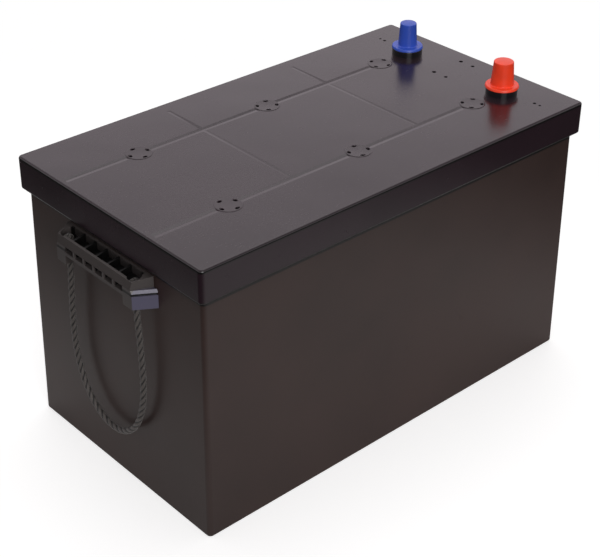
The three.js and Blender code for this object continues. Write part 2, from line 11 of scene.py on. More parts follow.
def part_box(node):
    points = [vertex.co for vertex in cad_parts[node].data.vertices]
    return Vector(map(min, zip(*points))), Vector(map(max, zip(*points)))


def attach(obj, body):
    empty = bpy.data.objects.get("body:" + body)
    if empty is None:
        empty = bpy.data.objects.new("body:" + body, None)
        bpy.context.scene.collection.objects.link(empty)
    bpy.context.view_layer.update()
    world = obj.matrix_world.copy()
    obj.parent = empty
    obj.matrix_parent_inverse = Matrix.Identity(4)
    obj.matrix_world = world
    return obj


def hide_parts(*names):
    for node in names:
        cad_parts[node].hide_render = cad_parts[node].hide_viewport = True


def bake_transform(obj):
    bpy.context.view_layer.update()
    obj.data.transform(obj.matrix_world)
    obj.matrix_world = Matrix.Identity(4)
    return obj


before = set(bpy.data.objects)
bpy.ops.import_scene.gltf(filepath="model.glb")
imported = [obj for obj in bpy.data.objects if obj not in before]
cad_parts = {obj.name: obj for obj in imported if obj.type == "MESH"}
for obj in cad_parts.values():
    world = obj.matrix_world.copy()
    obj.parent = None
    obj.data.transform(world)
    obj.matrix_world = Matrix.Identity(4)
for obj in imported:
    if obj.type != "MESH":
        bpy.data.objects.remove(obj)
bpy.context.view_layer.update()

bl_info = {
    "name": "Deep Cycle Battery",
    "version": (1, 0, 0),
    "blender": (4, 5, 0),
    "location": "View3D > Sidebar > Battery",
    "description": "Builds a sealed deep cycle battery with capped posts and rope handles",
    "category": "Add Mesh",
}


def middle(name):
    """The middle of a frame node's box."""
    low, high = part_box(name)
    return (low + high) / 2


MM = 0.001
ROOT = "battery"
CELLS = range(1, 7)
ENDS = {"plain_end": -1, "terminal_end": 1}
SHARP_ANGLE = math.radians(32)
VIEW_TARGET = Vector((-13.94, 0, 152.62)) * MM

# Stage: heights in the sky go from 0 at the horizon to 1 overhead, and places are in metres
LOW_SKY, HIGH_SKY, ZENITH, SKY_PEAK = (0.02, 0.3), (0.38, 0.62), 0.28, 1.4
FLOOR_STRETCH, FLOOR_FADE = (1, 0.6, 1), (0.34, 0.62)
TOP_LAMP, SIDE_LAMP = (0.5, 0.7, 2.2), (-0.9, -2.0, 1.0)

# Case and lid. Lengths from here on are in millimetres unless they come from the frame.
LID_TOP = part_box("vent_plug_1")[1].z
LID_HALF_X, LID_HALF_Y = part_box("lid")[1].xy
BASE_SPREAD = 3.5 * MM
RIM_HALF_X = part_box("container")[1].x - BASE_SPREAD
RIM_HALF_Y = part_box("container")[1].y - BASE_SPREAD
SOCKET_CLEARANCE = 0.6
LAND_DEPTH = 13
REST_HEIGHT, REST_WIDTH, REST_SPACING = 9, 4, 52
LINK_CLEARANCE = 1.5
LINE_MARGIN = 6
ROW_LINE_HALF, ROW_LINE_DEPTH = 4.2, 0.45
CROSS_LINE_X, CROSS_LINE_LENGTH, CROSS_LINE_HALF, CROSS_LINE_DEPTH = 86, 195, 2.4, 0.2
HOLE_DEPTH = 4
# Depths in millimetres of the bands of painted shade: below the lid's top edge and in its seats,
# at the skirt's foot, and on the case's wall under the skirt
EDGE_SHADE_BAND, SKIRT_SHADE_BAND, WALL_SHADE_BAND = 3.6, 2.6, 6
LID_HOLES = [
    (195.3, 13.5, 3.1), (238.8, 13.5, 2.9), (195.3, -4.1, 2.7), (238.8, -4.1, 2.7),
    (216.5, 112, 2.5), (216.5, 119, 2.1), (216.5, -112, 2.5), (216.5, -119, 2.1),
]

# Vents: depths are measured down from the lid's top, and ring and valve heights up from it
VENT_Y = abs(middle("vent_ring_1").y)
BOSS_RADIUS, BOSS_DEPTH, BOSS_SUNK = 17.5, 22, 3
BORE_RADIUS = 10.3
SEAT_RADIUS, SEAT_DEPTH = 14.1, 5.8
PLUG_RADIUS, PLUG_HEAD = 13.4, 3.4
PLUG_STEM, PLUG_LENGTH = 9.9, 20
PLUG_HOLLOW, HOLLOW_TOP = 6.2, 6
NIPPLE_RADIUS, NIPPLE_BOTTOM = 3.2, 15
THREAD_HEIGHT, THREAD_TURNS = 0.3, 4
PLUG_TURNS = {1: 20, 2: 58, 3: 0, 4: 14, 5: 71, 6: 38}
RING_INNER, RING_OUTER, RING_BOTTOM, RING_TOP = 10.4, 12.8, -5.5, -3.7
VALVE_RADIUS, VALVE_INNER, VALVE_BOTTOM, VALVE_TOP, VALVE_FLOOR = 5.6, 3.5, -17, -7, -15.3

# Terminals: heights are measured up from the lid's top
POLES = ("negative", "positive")
TURRET_RADIUS, TURRET_HEIGHT = 16.8, (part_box("lid")[1].z - LID_TOP) / MM
SLEEVE_RADIUS = {"negative": 8.95, "positive": 9.75}
PILLAR_RADIUS = {"negative": 5.8, "positive": 6.6}
CAP_RADII = {"negative": (10.5, 9.8), "positive": (12.5, 11.3)}
SLEEVE_TAPER, POST_GAP = 1.4, 0.3
FLANGE_RADIUS, FLANGE_BOTTOM, FLANGE_TOP = 13, -11, -6.3
SEAL_RADIUS, SEAL_BOTTOM = 13.5, TURRET_HEIGHT - 2.2

# Brackets, drawn for the +X end: an end block at each side, joined by a tray and a bar
BRACKET_BACK, BRACKET_FRONT = 253.4, 274
BRACKET_BOTTOM, BRACKET_TOP = 231, 262.5
BLOCK_BACK_HALF, BLOCK_FRONT_HALF, BLOCK_TOP, BLOCK_INNER = 73, 60, 251, 46
BAR_BOTTOM, BAR_TOP, SLOT_BACK = 241, 244.5, 261
TRAY_BACK_HALF, TRAY_FRONT_HALF, TRAY_FRONT_TOP, TRAY_LEAN = 67, 58, 259.6, 2
TROUGH_FLOOR, TROUGH_BACK, TROUGH_FRONT, TROUGH_HALF = 254, 256, 269.5, 54
BRACKET_POCKETS, BRACKET_RIB = 6, 2.5
LIP_BOTTOM, LIP_SLOPE = 248, math.radians(27)
GROOVE_BOTTOM, GROOVE_TOP, GROOVE_DEPTH = 245.4, 247.4, 1.5
ROPE_HOLE, ROPE_HOLE_BOTTOM = 3.9, 231
KNOT_SEAT, KNOT_BOTTOM, KNOT_POCKET, KNOT_RADIUS, KNOT_RINGS = 246, 246.3, 7, 6, 64

# Ropes: one half of the hanging loop as (y, z), from its exit towards its lowest point
ROPE_X, ROPE_EXIT_Y, ROPE_EXIT_Z = 264.5, 53, 230.7
ROPE_DIAMETER, ROPE_RINGS = 6.5, 260
ROPE_HALF_ROUTE = [
    (53, 230.7), (53.4, 222), (54.6, 205), (56, 185), (57, 165), (57.2, 146),
    (56, 128), (52.6, 110), (46.6, 93.5), (37.6, 79), (26, 68), (13.4, 61.6),
]
ROPE_LOWEST = (0, 59.6)


def srgb(red, green, blue):
    """The linear colour of three values from 0 to 255, as a colour picker shows them."""
    def linear(value):
        share = value / 255
        return share / 12.92 if share <= 0.04045 else ((share + 0.055) / 1.055) ** 2.4
    return tuple(linear(value) for value in (red, green, blue))


def length(name, description, millimetres):
    return FloatProperty(
        name=name, description=description, default=millimetres * MM, min=0,
        unit="LENGTH", subtype="DISTANCE", precision=5,
    )


def colour(name, description, *values):
    return FloatVectorProperty(
        name=name, description=description, default=srgb(*values), size=3, min=0, max=1,
        subtype="COLOR",
    )


def angle(name, description, degrees):
    return FloatProperty(
        name=name, description=description, default=math.radians(degrees), subtype="ANGLE",
    )


def power(name, description, watts):
    return FloatProperty(
        name=name, description=description, default=watts, min=0, unit="POWER",
    )


def share_of(name, description, value):
    return FloatProperty(
        name=name, description=description, default=value, min=0, max=1, subtype="FACTOR",
    )


class ShellProperties(bpy.types.PropertyGroup):
    """Case and lid"""
    corner: length("Corner", "Radius of the upright corners", 5)
    base_edge: length("Base edge", "Rounding round the base", 2)
    lid_edge: length("Lid edge", "Rounding along the lid's upper edge", 2.6)
    skirt_edge: length("Skirt edge", "Rounding along the skirt's lower edge", 2.6)
    wall: length("Case wall", "Thickness of the case's wall at the rim", 4.5)
    partition: length("Partition", "Thickness of the walls between the cells", 3)
    floor: length("Case floor", "Thickness of the case's floor", 5)
    roof: length("Lid roof", "Thickness of the lid over the cells", 5)
    case_colour: colour("Case colour", "Plastic of the case", 47, 34, 31)
    lid_colour: colour("Lid colour", "Plastic of the lid", 31, 18, 25)
    # Painted shade: a near-black colour laid in recesses, under the lid's skirt and along edges
    # where shade falls
    painted_shade_colour: colour("Painted shade colour", "Painted shade in recesses and under edges", 8, 7, 7)
    # Painted shade: the turrets under the caps' flanges are darkened to near black
    turret_shade_colour: colour("Turret shade colour", "Painted shade on the turrets under the caps", 10, 10, 14)
    dust_colour: colour("Dust colour", "Fine dust on upper faces", 150, 145, 142)


class VentProperties(bpy.types.PropertyGroup):
    """Vents"""
    lip: length("Lip", "Rounding of the edges of a plug and of its seat", 0.5)
    pin_circle: length("Pin circle", "Radius of the circle that the pin holes lie on", 10.3)
    pin_hole: length("Pin hole", "Half the width of a pin hole", 2.4)
    pin_stretch: FloatProperty(
        name="Pin stretch", description="Length of a pin hole over its width", default=1.5, min=1,
    )
    pin_depth: length("Pin depth", "Depth of a pin hole", 2.8)
    thread_pitch: length("Thread pitch", "Rise of the thread in one turn", 3)
    plug_colour: colour("Plug colour", "Plastic of the plugs", 33, 20, 27)
    rubber_colour: colour("Rubber colour", "Sealing rings and valves", 24, 24, 25)


class TerminalProperties(bpy.types.PropertyGroup):
    """Terminals"""
    flange: length("Flange", "Thickness of a cap's flange", 2.6)
    shoulder: length("Shoulder", "Rounding at the top of a cap", 1.7)
    cap_wall: length("Cap wall", "Thickness of a cap's wall", 1.2)
    negative_colour: colour("Negative cap", "Plastic of the negative cap", 46, 80, 186)
    positive_colour: colour("Positive cap", "Plastic of the positive cap", 250, 66, 32)
    lead_colour: colour("Lead", "Cast lead of posts, straps and links", 140, 142, 146)
    resin_colour: colour("Resin", "Sealing resin round the posts", 30, 30, 33)


class HandleProperties(bpy.types.PropertyGroup):
    """Handles"""
    edge: length("Bracket edge", "Rounding of a bracket's edges", 0.6)
    lay_length: length("Lay length", "Length of rope in which a strand goes round once", 27)
    strands: IntProperty(
        name="Strands", description="Strands twisted into the rope", default=3, min=2, max=6,
    )
    groove_share: share_of("Groove", "Depth of the grooves as a share of the radius", 0.34)
    bracket_colour: colour("Bracket colour", "Plastic of the brackets", 62, 57, 56)
    # Painted reflection: the end blocks take a paler bluish colour in place of a reflection of the
    # sky
    end_reflection_colour: colour("Bracket end reflection", "Painted reflection on the brackets' end blocks", 84, 81, 100)
    rope_colour: colour("Rope colour", "Yarn of the rope", 74, 69, 66)
    # Painted shade: the yarn turns near-black in the grooves between the strands
    groove_shade_colour: colour("Groove shade colour", "Shaded yarn between the strands", 10, 9, 9)


class CellProperties(bpy.types.PropertyGroup):
    """Cells"""
    positive_colour: colour("Positive plates", "Lead dioxide paste", 88, 58, 44)
    negative_colour: colour("Negative plates", "Spongy lead paste", 118, 120, 122)
    mat_colour: colour("Glass mat", "Absorbent glass mat", 228, 226, 218)


class StageProperties(bpy.types.PropertyGroup):
    """Stage"""
    lens: FloatProperty(
        name="Lens", description="Focal length of the camera", default=86.31, min=10,
        unit="CAMERA",
    )
    shift: FloatProperty(
        name="Shift", description="How far the picture is moved up or down", default=-0.0308,
    )
    azimuth: angle("Azimuth", "Side that the camera stands at", -42.26)
    elevation: angle("Elevation", "Height of the camera above the horizon", 31.39)
    roll: angle("Roll", "Turn of the camera about its line of sight", 0.54)
    distance: length("Distance", "From the camera to the point it looks at", 1535.5)
    top_size: length("Top lamp", "Width and height of the lamp above", 2200)
    top_power: power("Top light", "Power of the lamp above", 20)
    side_size: length("Side lamp", "Width and height of the lamp by the camera", 1300)
    side_power: power("Side light", "Power of the lamp by the camera", 24)
    ambient: share_of("Ambient", "Grey light from all round", 0.45)
    sky_colour: colour("Sky", "Tint of the world in reflections", 251, 241, 247)
    horizon: share_of("Horizon", "Brightness of the world at the horizon in reflections", 0.15)
    near_glow: share_of("Near glow", "Brightening of the near floor as it is seen", 0.6)
    far_glow: share_of("Far glow", "Brightening of the far floor as it is seen", 0.95)
    near_colour: colour("Near floor", "Floor round the battery", 205, 203, 203)
    far_colour: colour("Far floor", "Floor beyond both ends of the battery", 75, 73, 73)


SETTINGS = {
    "battery_shell": ShellProperties,
    "battery_vent": VentProperties,
    "battery_terminal": TerminalProperties,
    "battery_handle": HandleProperties,
    "battery_cell": CellProperties,
    "battery_stage": StageProperties,
}


# ---------------------------------------------------------------- materials


def node(tree, kind, inputs=(), **settings):
    """A shader node, with its settings made and its inputs set or linked."""
    made = tree.nodes.new(kind)
    for name, value in settings.items():
        setattr(made, name, value)
    for name, value in dict(inputs).items():
        if isinstance(value, bpy.types.NodeSocket):
            tree.links.new(value, made.inputs[name])
        else:
            made.inputs[name].default_value = value
    return made


def shade(values, factor):
    """A colour made lighter or darker."""
    return tuple(min(value * factor, 1) for value in values[:3])


def place(tree, stretch=(1, 1, 1)):
    """Object coordinates, stretched along each axis."""
    coordinates = node(tree, "ShaderNodeTexCoord").outputs["Object"]
    mapping = node(tree, "ShaderNodeMapping", {"Vector": coordinates, "Scale": stretch})
    return mapping.outputs["Vector"]


def noise(tree, where, scale, detail=2.0, roughness=0.5):
    inputs = {"Vector": where, "Scale": scale, "Detail": detail, "Roughness": roughness}
    return node(tree, "ShaderNodeTexNoise", inputs).outputs["Fac"]


def mapped(tree, value, low, high, to_low=0.0, to_high=1.0):
    """A value taken from one range to another, and held inside it."""
    inputs = {
        "Value": value, "From Min": low, "From Max": high, "To Min": to_low, "To Max": to_high,
    }
    return node(tree, "ShaderNodeMapRange", inputs).outputs["Result"]


def combined(tree, operation, first, second):
    return node(tree, "ShaderNodeMath", {0: first, 1: second}, operation=operation).outputs[0]


def scaled(tree, value, factor):
    return combined(tree, "MULTIPLY", value, factor)


def blended(tree, share, first, second):
    """One colour turning into another as share goes from 0 to 1."""
    made = node(tree, "ShaderNodeMix", {"Factor": share}, data_type="RGBA")
    for index, value in ((6, first), (7, second)):
        if isinstance(value, bpy.types.NodeSocket):
            tree.links.new(value, made.inputs[index])
        else:
            made.inputs[index].default_value = (*value[:3], 1)
    return made.outputs[2]


def bumped(tree, height, strength, distance, under=None):
    inputs = {"Height": height, "Strength": strength, "Distance": distance}
    if under is not None:
        inputs["Normal"] = under
    return node(tree, "ShaderNodeBump", inputs).outputs["Normal"]


def worn_edges(tree, radius):
    """1 along sharp edges and 0 on flat faces."""
    softened = node(tree, "ShaderNodeBevel", {"Radius": radius}, samples=4)
    shape = node(tree, "ShaderNodeNewGeometry")
    facing = node(
        tree, "ShaderNodeVectorMath",
        {0: softened.outputs["Normal"], 1: shape.outputs["Normal"]}, operation="DOT_PRODUCT",
    )
    return mapped(tree, facing.outputs["Value"], 0.97, 0.8)


def upward(tree):
    """1 on faces that look up and 0 on the others."""
    shape = node(tree, "ShaderNodeNewGeometry")
    split = node(tree, "ShaderNodeSeparateXYZ", {"Vector": shape.outputs["Normal"]})
    return mapped(tree, split.outputs["Z"], 0.6, 0.95)


def within(tree, where, limits):
    """1 inside limits in millimetres along some axes, and 0 outside them, on both sides of 0."""
    split = node(tree, "ShaderNodeSeparateXYZ", {"Vector": where})
    share = 1.0
    for axis, (low, high) in limits.items():
        value = combined(tree, "ABSOLUTE", split.outputs[axis], 0)
        above = mapped(tree, value, (low - 0.2) * MM, (low + 0.2) * MM)
        below = mapped(tree, value, (high - 0.2) * MM, (high + 0.2) * MM, 1, 0)
        share = combined(tree, "MULTIPLY", share, combined(tree, "MULTIPLY", above, below))
    return share


def new_finish(name, **values):
    """A new material and its tree, with even values set on the shader itself."""
    material = bpy.data.materials.new(name)
    material.use_nodes = True
    tree = material.node_tree
    shader = tree.nodes["Principled BSDF"]
    for key, value in values.items():
        shader.inputs[key.replace("_", " ")].default_value = value
    return material, tree


def dressed(material, **sockets):
    """The material, with what varies over it linked to its shader."""
    tree = material.node_tree
    for key, socket in sockets.items():
        tree.links.new(socket, tree.nodes["Principled BSDF"].inputs[key.replace("_", " ")])
    return material


def moulded_plastic(name, base, roughness, grain=0.25, dust=None, wear=0.15, painted_light_zones=()):
    """Moulded plastic: mottled, finely grained, rubbed along its edges, perhaps dusty.

    Each zone is a colour and the limits inside which the plastic takes it: painted shade in
    recesses and under edges, and a painted reflection on the brackets' end blocks.
    """
    material, tree = new_finish(name, IOR=1.49)
    where = place(tree)
    mottle = noise(tree, where, 26, 4)
    clouds = noise(tree, where, 5)
    tone = blended(tree, mapped(tree, mottle, 0.3, 0.7), shade(base, 0.92), shade(base, 1.08))
    tone = blended(tree, mapped(tree, clouds, 0.35, 0.65, 0, 0.8), tone, shade(base, 1.4))
    scuffs = mapped(tree, noise(tree, place(tree, (1, 7, 1)), 60, 5, 0.65), 0.64, 0.74)
    tone = blended(tree, scaled(tree, scuffs, 0.12), tone, shade(base, 1.9))
    rubbed = scaled(tree, worn_edges(tree, 1.2 * MM), mapped(tree, mottle, 0.35, 0.7))
    tone = blended(tree, scaled(tree, rubbed, wear), tone, shade(base, 2.0))
    rough = mapped(tree, clouds, 0.3, 0.7, roughness - 0.04, roughness + 0.05)
    rough = combined(tree, "ADD", rough, scaled(tree, scuffs, 0.12))
    if dust is not None:
        specks = mapped(tree, noise(tree, where, 420, 3, 0.7), 0.5, 0.75)
        settled = scaled(tree, upward(tree), specks)
        tone = blended(tree, scaled(tree, settled, 0.03), tone, dust)
        rough = combined(tree, "ADD", rough, scaled(tree, settled, 0.06))
    # Painted light: each zone lays its painted shade or painted reflection over the plastic's own
    # tone
    for painted_light_colour, limits in painted_light_zones:
        tone = blended(tree, within(tree, where, limits), tone, painted_light_colour)
    normal = bumped(tree, noise(tree, where, 900, 2, 0.6), grain, 0.07 * MM)
    normal = bumped(tree, noise(tree, where, 12, 1), 0.5, 0.8 * MM, normal)
    return dressed(material, Base_Color=tone, Roughness=rough, Normal=normal)


def cap_plastic(name, base):
    """Bright moulded plastic, semi-gloss, uneven in tone, with fine upright drag marks."""
    material, tree = new_finish(name, IOR=1.48)
    where = place(tree)
    patches = noise(tree, where, 90, 3)
    tone = blended(tree, mapped(tree, patches, 0.3, 0.7), shade(base, 0.9), shade(base, 1.07))
    rubbed = scaled(tree, worn_edges(tree, 0.8 * MM), mapped(tree, patches, 0.3, 0.6))
    pale = [0.5 * value + 0.2 for value in base]
    tone = blended(tree, scaled(tree, rubbed, 0.35), tone, pale)
    drag = noise(tree, place(tree, (1, 1, 0.06)), 900)
    rough = mapped(tree, drag, 0.3, 0.7, 0.3, 0.4)
    normal = bumped(tree, drag, 0.1, 0.1 * MM)
    normal = bumped(tree, noise(tree, where, 700), 0.15, 0.1 * MM, normal)
    return dressed(material, Base_Color=tone, Roughness=rough, Normal=normal)


def cast_lead(name, base):
    """Dull cast lead with brighter rubbed edges and a grainy skin."""
    material, tree = new_finish(name, Metallic=0.9)
    where = place(tree)
    oxide = noise(tree, where, 120, 5, 0.6)
    tone = blended(tree, mapped(tree, oxide, 0.35, 0.65), shade(base, 0.55), base)
    tone = blended(tree, scaled(tree, worn_edges(tree, 0.6 * MM), 0.7), tone, shade(base, 1.5))
    rough = mapped(tree, oxide, 0.3, 0.7, 0.62, 0.38)
    normal = bumped(tree, noise(tree, where, 600, 4, 0.6), 0.4, 0.2 * MM)
    return dressed(material, Base_Color=tone, Roughness=rough, Normal=normal)


def sealing_resin(name, base):
    """Poured black resin: glossy, with slow waves and a few dull specks."""
    material, tree = new_finish(name, IOR=1.55)
    where = place(tree)
    specks = mapped(tree, noise(tree, where, 500, 3, 0.7), 0.55, 0.75)
    tone = blended(tree, scaled(tree, specks, 0.4), base, shade(base, 2.5))
    rough = mapped(tree, specks, 0, 1, 0.16, 0.4)
    normal = bumped(tree, noise(tree, where, 120), 0.3, 0.3 * MM)
    return dressed(material, Base_Color=tone, Roughness=rough, Normal=normal)


def seal_rubber(name, base):
    """Matt black rubber with a fine bloom."""
    material, tree = new_finish(name, Sheen_Weight=0.15, Sheen_Roughness=0.4)
    where = place(tree)
    bloom = noise(tree, where, 260, 4)
    tone = blended(tree, mapped(tree, bloom, 0.4, 0.75), base, shade(base, 1.8))
    rough = mapped(tree, bloom, 0.3, 0.7, 0.62, 0.82)
    normal = bumped(tree, noise(tree, where, 1500), 0.25, 0.1 * MM)
    return dressed(material, Base_Color=tone, Roughness=rough, Normal=normal)


def pasted_plate(name, base, lead):
    """Porous paste pressed into a lead grid whose bars just show, with bare lead lugs above."""
    material, tree = new_finish(name, Specular_IOR_Level=0.3)
    where = place(tree)
    split = node(tree, "ShaderNodeSeparateXYZ", {"Vector": where})
    upright = combined(tree, "PINGPONG", split.outputs["X"], 4.5 * MM)
    level = combined(tree, "PINGPONG", split.outputs["Z"], 3 * MM)
    bars = mapped(tree, combined(tree, "MINIMUM", upright, level), 0.9 * MM, 0.5 * MM, 0, 0.45)
    plate_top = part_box("separator_1")[1].z - 4 * MM
    lug = mapped(tree, split.outputs["Z"], plate_top - MM, plate_top + MM)
    bare = combined(tree, "MAXIMUM", bars, lug)
    pores = noise(tree, where, 700, 4, 0.7)
    paste = blended(tree, mapped(tree, pores, 0.35, 0.7), shade(base, 0.75), shade(base, 1.15))
    tone = blended(tree, bare, paste, lead)
    rough = mapped(tree, bare, 0, 1, 0.9, 0.5)
    normal = bumped(tree, combined(tree, "ADD", pores, bars), 0.5, 0.3 * MM)
    return dressed(material, Base_Color=tone, Roughness=rough, Normal=normal)


def glass_mat(name, base):
    """Felted glass fibre, white and soft."""
    material, tree = new_finish(name, Sheen_Weight=0.3, Specular_IOR_Level=0.2)
    fibres = noise(tree, place(tree, (1, 1, 4)), 500, 5, 0.7)
    clouds = noise(tree, place(tree), 40)
    tone = blended(tree, mapped(tree, fibres, 0.3, 0.7), shade(base, 0.86), shade(base, 1.04))
    tone = blended(tree, mapped(tree, clouds, 0.4, 0.7, 0, 0.3), tone, shade(base, 0.8))
    rough = mapped(tree, fibres, 0.3, 0.7, 0.85, 1.0)
    normal = bumped(tree, fibres, 0.6, 0.4 * MM)
    return dressed(material, Base_Color=tone, Roughness=rough, Normal=normal)


def rope_yarn(name, settings):
    """Rope yarn: fine filaments along each strand, with painted shade where two strands meet."""
    material, tree = new_finish(name, Sheen_Weight=0.2, Sheen_Roughness=0.35)
    base = settings.rope_colour
    depth = node(tree, "ShaderNodeAttribute", attribute_name="strand_depth").outputs["Fac"]
    strand = node(tree, "ShaderNodeUVMap", uv_map="strand").outputs["UV"]
    threads = node(
        tree, "ShaderNodeTexWave",
        {"Vector": strand, "Scale": 2.2, "Distortion": 1.5, "Detail": 2.0},
        bands_direction="X",
    ).outputs["Fac"]
    fuzz = noise(tree, place(tree), 800, 3, 0.6)
    tone = blended(tree, threads, shade(base, 0.8), shade(base, 1.25))
    tone = blended(tree, mapped(tree, fuzz, 0.4, 0.8, 0, 0.5), tone, shade(base, 1.5))
    # Painted shade: the yarn darkens in the grooves where two strands meet
    tone = blended(tree, mapped(tree, depth, 0.25, 0.7), tone, settings.groove_shade_colour)
    rough = mapped(tree, threads, 0, 1, 0.5, 0.7)
    normal = bumped(tree, threads, 0.5, 0.3 * MM)
    normal = bumped(tree, fuzz, 0.3, 0.2 * MM, normal)
    return dressed(material, Base_Color=tone, Roughness=rough, Normal=normal)


# ---------------------------------------------------------------- mesh work


def rounded(corners, steps=5):
    """An outline of (radius, z, rounding) corners in millimetres, each drawn as an arc."""
    line = []
    for index, (radius, z, rounding) in enumerate(corners):
        here = Vector((radius, z))
        if not rounding:
            line.append(here * MM)
            continue
        before = (Vector(corners[index - 1][:2]) - here).normalized()
        after = (Vector(corners[(index + 1) % len(corners)][:2]) - here).normalized()
        half = before.angle(after) / 2
        centre = here + (before + after).normalized() * rounding / math.sin(half)
        first = here + before * rounding / math.tan(half) - centre
        last = here + after * rounding / math.tan(half) - centre
        line += [(centre + first.slerp(last, step / steps)) * MM for step in range(steps + 1)]
    return line


def closed(bm):
    """Welds a shape, fills its open ends and turns its faces outwards."""
    bmesh.ops.remove_doubles(bm, verts=bm.verts, dist=1e-7)
    bmesh.ops.holes_fill(bm, edges=[e for e in bm.edges if e.is_boundary], sides=0)
    bmesh.ops.recalc_face_normals(bm, faces=bm.faces)
    return bm


def disc(radius, low, high, low_edge=0.0, high_edge=0.0):
    """The outline of a solid disc, with the rounding of its two edges."""
    return [(0, low, 0), (radius, low, low_edge), (radius, high, high_edge), (0, high, 0)]


def pit(radius, depth, mouth, foot):
    """The outline of a tool for a blind hole from z = 0 down, rounded at its mouth and foot."""
    return [
        (0, 1, 0), (radius + mouth, 1, 0), (radius + mouth, 0, 0), (radius, 0, mouth),
        (radius, -depth, foot), (0, -depth, 0),
    ]


def spun(corners, where, sides=64):
    """Spins an outline round an upright line through where. A ring's outline closes on itself."""
    bm = bmesh.new()
    outline = rounded(corners)
    verts = [bm.verts.new((radius, 0, z)) for radius, z in outline]
    edges = [bm.edges.new(pair) for pair in zip(verts, verts[1:])]
    is_ring = min(radius for radius, z in outline) > 0
    if is_ring:
        edges.append(bm.edges.new((verts[-1], verts[0])))
    bmesh.ops.spin(
        bm, geom=verts + edges, cent=(0, 0, 0), axis=(0, 0, 1), angle=2 * math.pi,
        steps=sides, use_merge=True,
    )
    bmesh.ops.remove_doubles(bm, verts=bm.verts, dist=1e-7)
    bmesh.ops.recalc_face_normals(bm, faces=bm.faces)
    bmesh.ops.translate(bm, verts=bm.verts, vec=where)
    return bm


def block(low, high):
    """A box between two corners."""
    bm = bmesh.new()
    low, high = Vector(low), Vector(high)
    place_of = Matrix.Translation((low + high) / 2) @ Matrix.Diagonal((*(high - low), 1))
    bmesh.ops.create_cube(bm, size=1, matrix=place_of)
    return bm


def bevelled(bm, edges, offset, segments):
    bmesh.ops.bevel(
        bm, geom=edges, offset=offset, offset_type="OFFSET", affect="EDGES",
        segments=segments, profile=0.5, material=-1, clamp_overlap=True,
    )
    return bm


def upright_edges(bm):
    """The edges that climb from the bottom of a block to its top."""
    return [e for e in bm.edges if abs(e.verts[0].co.z - e.verts[1].co.z) > 1e-4]


def rim_edges(bm, z):
    """The edges that lie at one height."""
    return [e for e in bm.edges if all(abs(v.co.z - z) < 1e-6 for v in e.verts)]


def rounded_block(half_x, half_y, bottom, top, corner, spread=0.0):
    """A block about the origin with rounded upright corners. Its walls may lean out downwards."""
    bm = block((-half_x, -half_y, bottom), (half_x, half_y, top))
    for vert in bm.verts:
        if vert.co.z < (bottom + top) / 2:
            vert.co.x += math.copysign(spread, vert.co.x)
            vert.co.y += math.copysign(spread, vert.co.y)
    return bevelled(bm, upright_edges(bm), corner, 8)


def linked(name, data):
    """A new object in the scene."""
    made = bpy.data.objects.new(name, data)
    bpy.context.scene.collection.objects.link(made)
    return made


def loose_object(bm, name):
    mesh = bpy.data.meshes.new(name)
    bm.to_mesh(mesh)
    bm.free()
    return linked(name, mesh)


def carved(bm, tools, operation="DIFFERENCE"):
    """Cuts tools from a closed shape, or joins them to it."""
    body = loose_object(bm, "carve_body")
    shelf = bpy.data.collections.new("carve_tools")
    tool_objects = [loose_object(tool, "carve_tool") for tool in tools]
    for tool in tool_objects:
        shelf.objects.link(tool)
    modifier = body.modifiers.new("Carve", "BOOLEAN")
    modifier.operation = operation
    modifier.operand_type = "COLLECTION"
    modifier.collection = shelf
    modifier.solver = "EXACT"
    result = bmesh.new()
    result.from_object(body, bpy.context.evaluated_depsgraph_get())
    for made in (body, *tool_objects):
        bpy.data.meshes.remove(made.data)
    bpy.data.collections.remove(shelf)
    bmesh.ops.remove_doubles(result, verts=result.verts, dist=1e-6)
    bmesh.ops.dissolve_degenerate(result, edges=result.edges, dist=1e-6)
    if any(not edge.is_manifold for edge in result.edges):
        raise RuntimeError("a carved shape has an open edge")
    return result


def finished(name, bm, body, material, replaces, soften=0.0):
    """Makes a shape a finished piece that rides on a body in place of CAD nodes."""
    made = loose_object(bm, name)
    made.data.shade_smooth()
    made.data.set_sharp_from_angle(angle=SHARP_ANGLE)
    made.data.materials.append(material)
    if soften:
        bevel = made.modifiers.new("Edges", "BEVEL")
        bevel.width = soften
        bevel.segments = 2
        bevel.limit_method = "ANGLE"
        bevel.angle_limit = SHARP_ANGLE
    flat = made.modifiers.new("Flat faces", "WEIGHTED_NORMAL")
    flat.keep_sharp = not soften
    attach(made, body)
    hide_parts(*replaces)
    return made


def coated(nodes, material):
    """Gives CAD nodes that stay in view their finish."""
    for name in nodes:
        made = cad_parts[name]
        made.data.materials.clear()
        made.data.materials.append(material)


# ---------------------------------------------------------------- stage


def aim(made, target, roll=0.0):
    """Turns a camera or a lamp towards a point."""
    turn = (Vector(target) - made.location).to_track_quat("-Z", "Y").to_matrix()
    made.rotation_euler = (turn @ Matrix.Rotation(roll, 3, "Z")).to_euler()


def soft_lamp(name, where, size, power):
    data = bpy.data.lights.new(name, "AREA")
    data.size = size
    data.energy = power
    lamp = linked(name, data)
    lamp.location = where
    aim(lamp, VIEW_TARGET)


def studio_camera(settings):
    data = bpy.data.cameras.new("Camera")
    data.lens = settings.lens
    data.sensor_width = 36
    data.shift_y = settings.shift
    data.clip_start, data.clip_end = 0.05, 50
    camera = linked("Camera", data)
    azimuth, elevation = settings.azimuth, settings.elevation
    back = Vector((
        math.sin(azimuth) * math.cos(elevation),
        -math.cos(azimuth) * math.cos(elevation),
        math.sin(elevation),
    ))
    camera.location = VIEW_TARGET + back * settings.distance
    aim(camera, VIEW_TARGET, settings.roll)
    bpy.context.scene.camera = camera


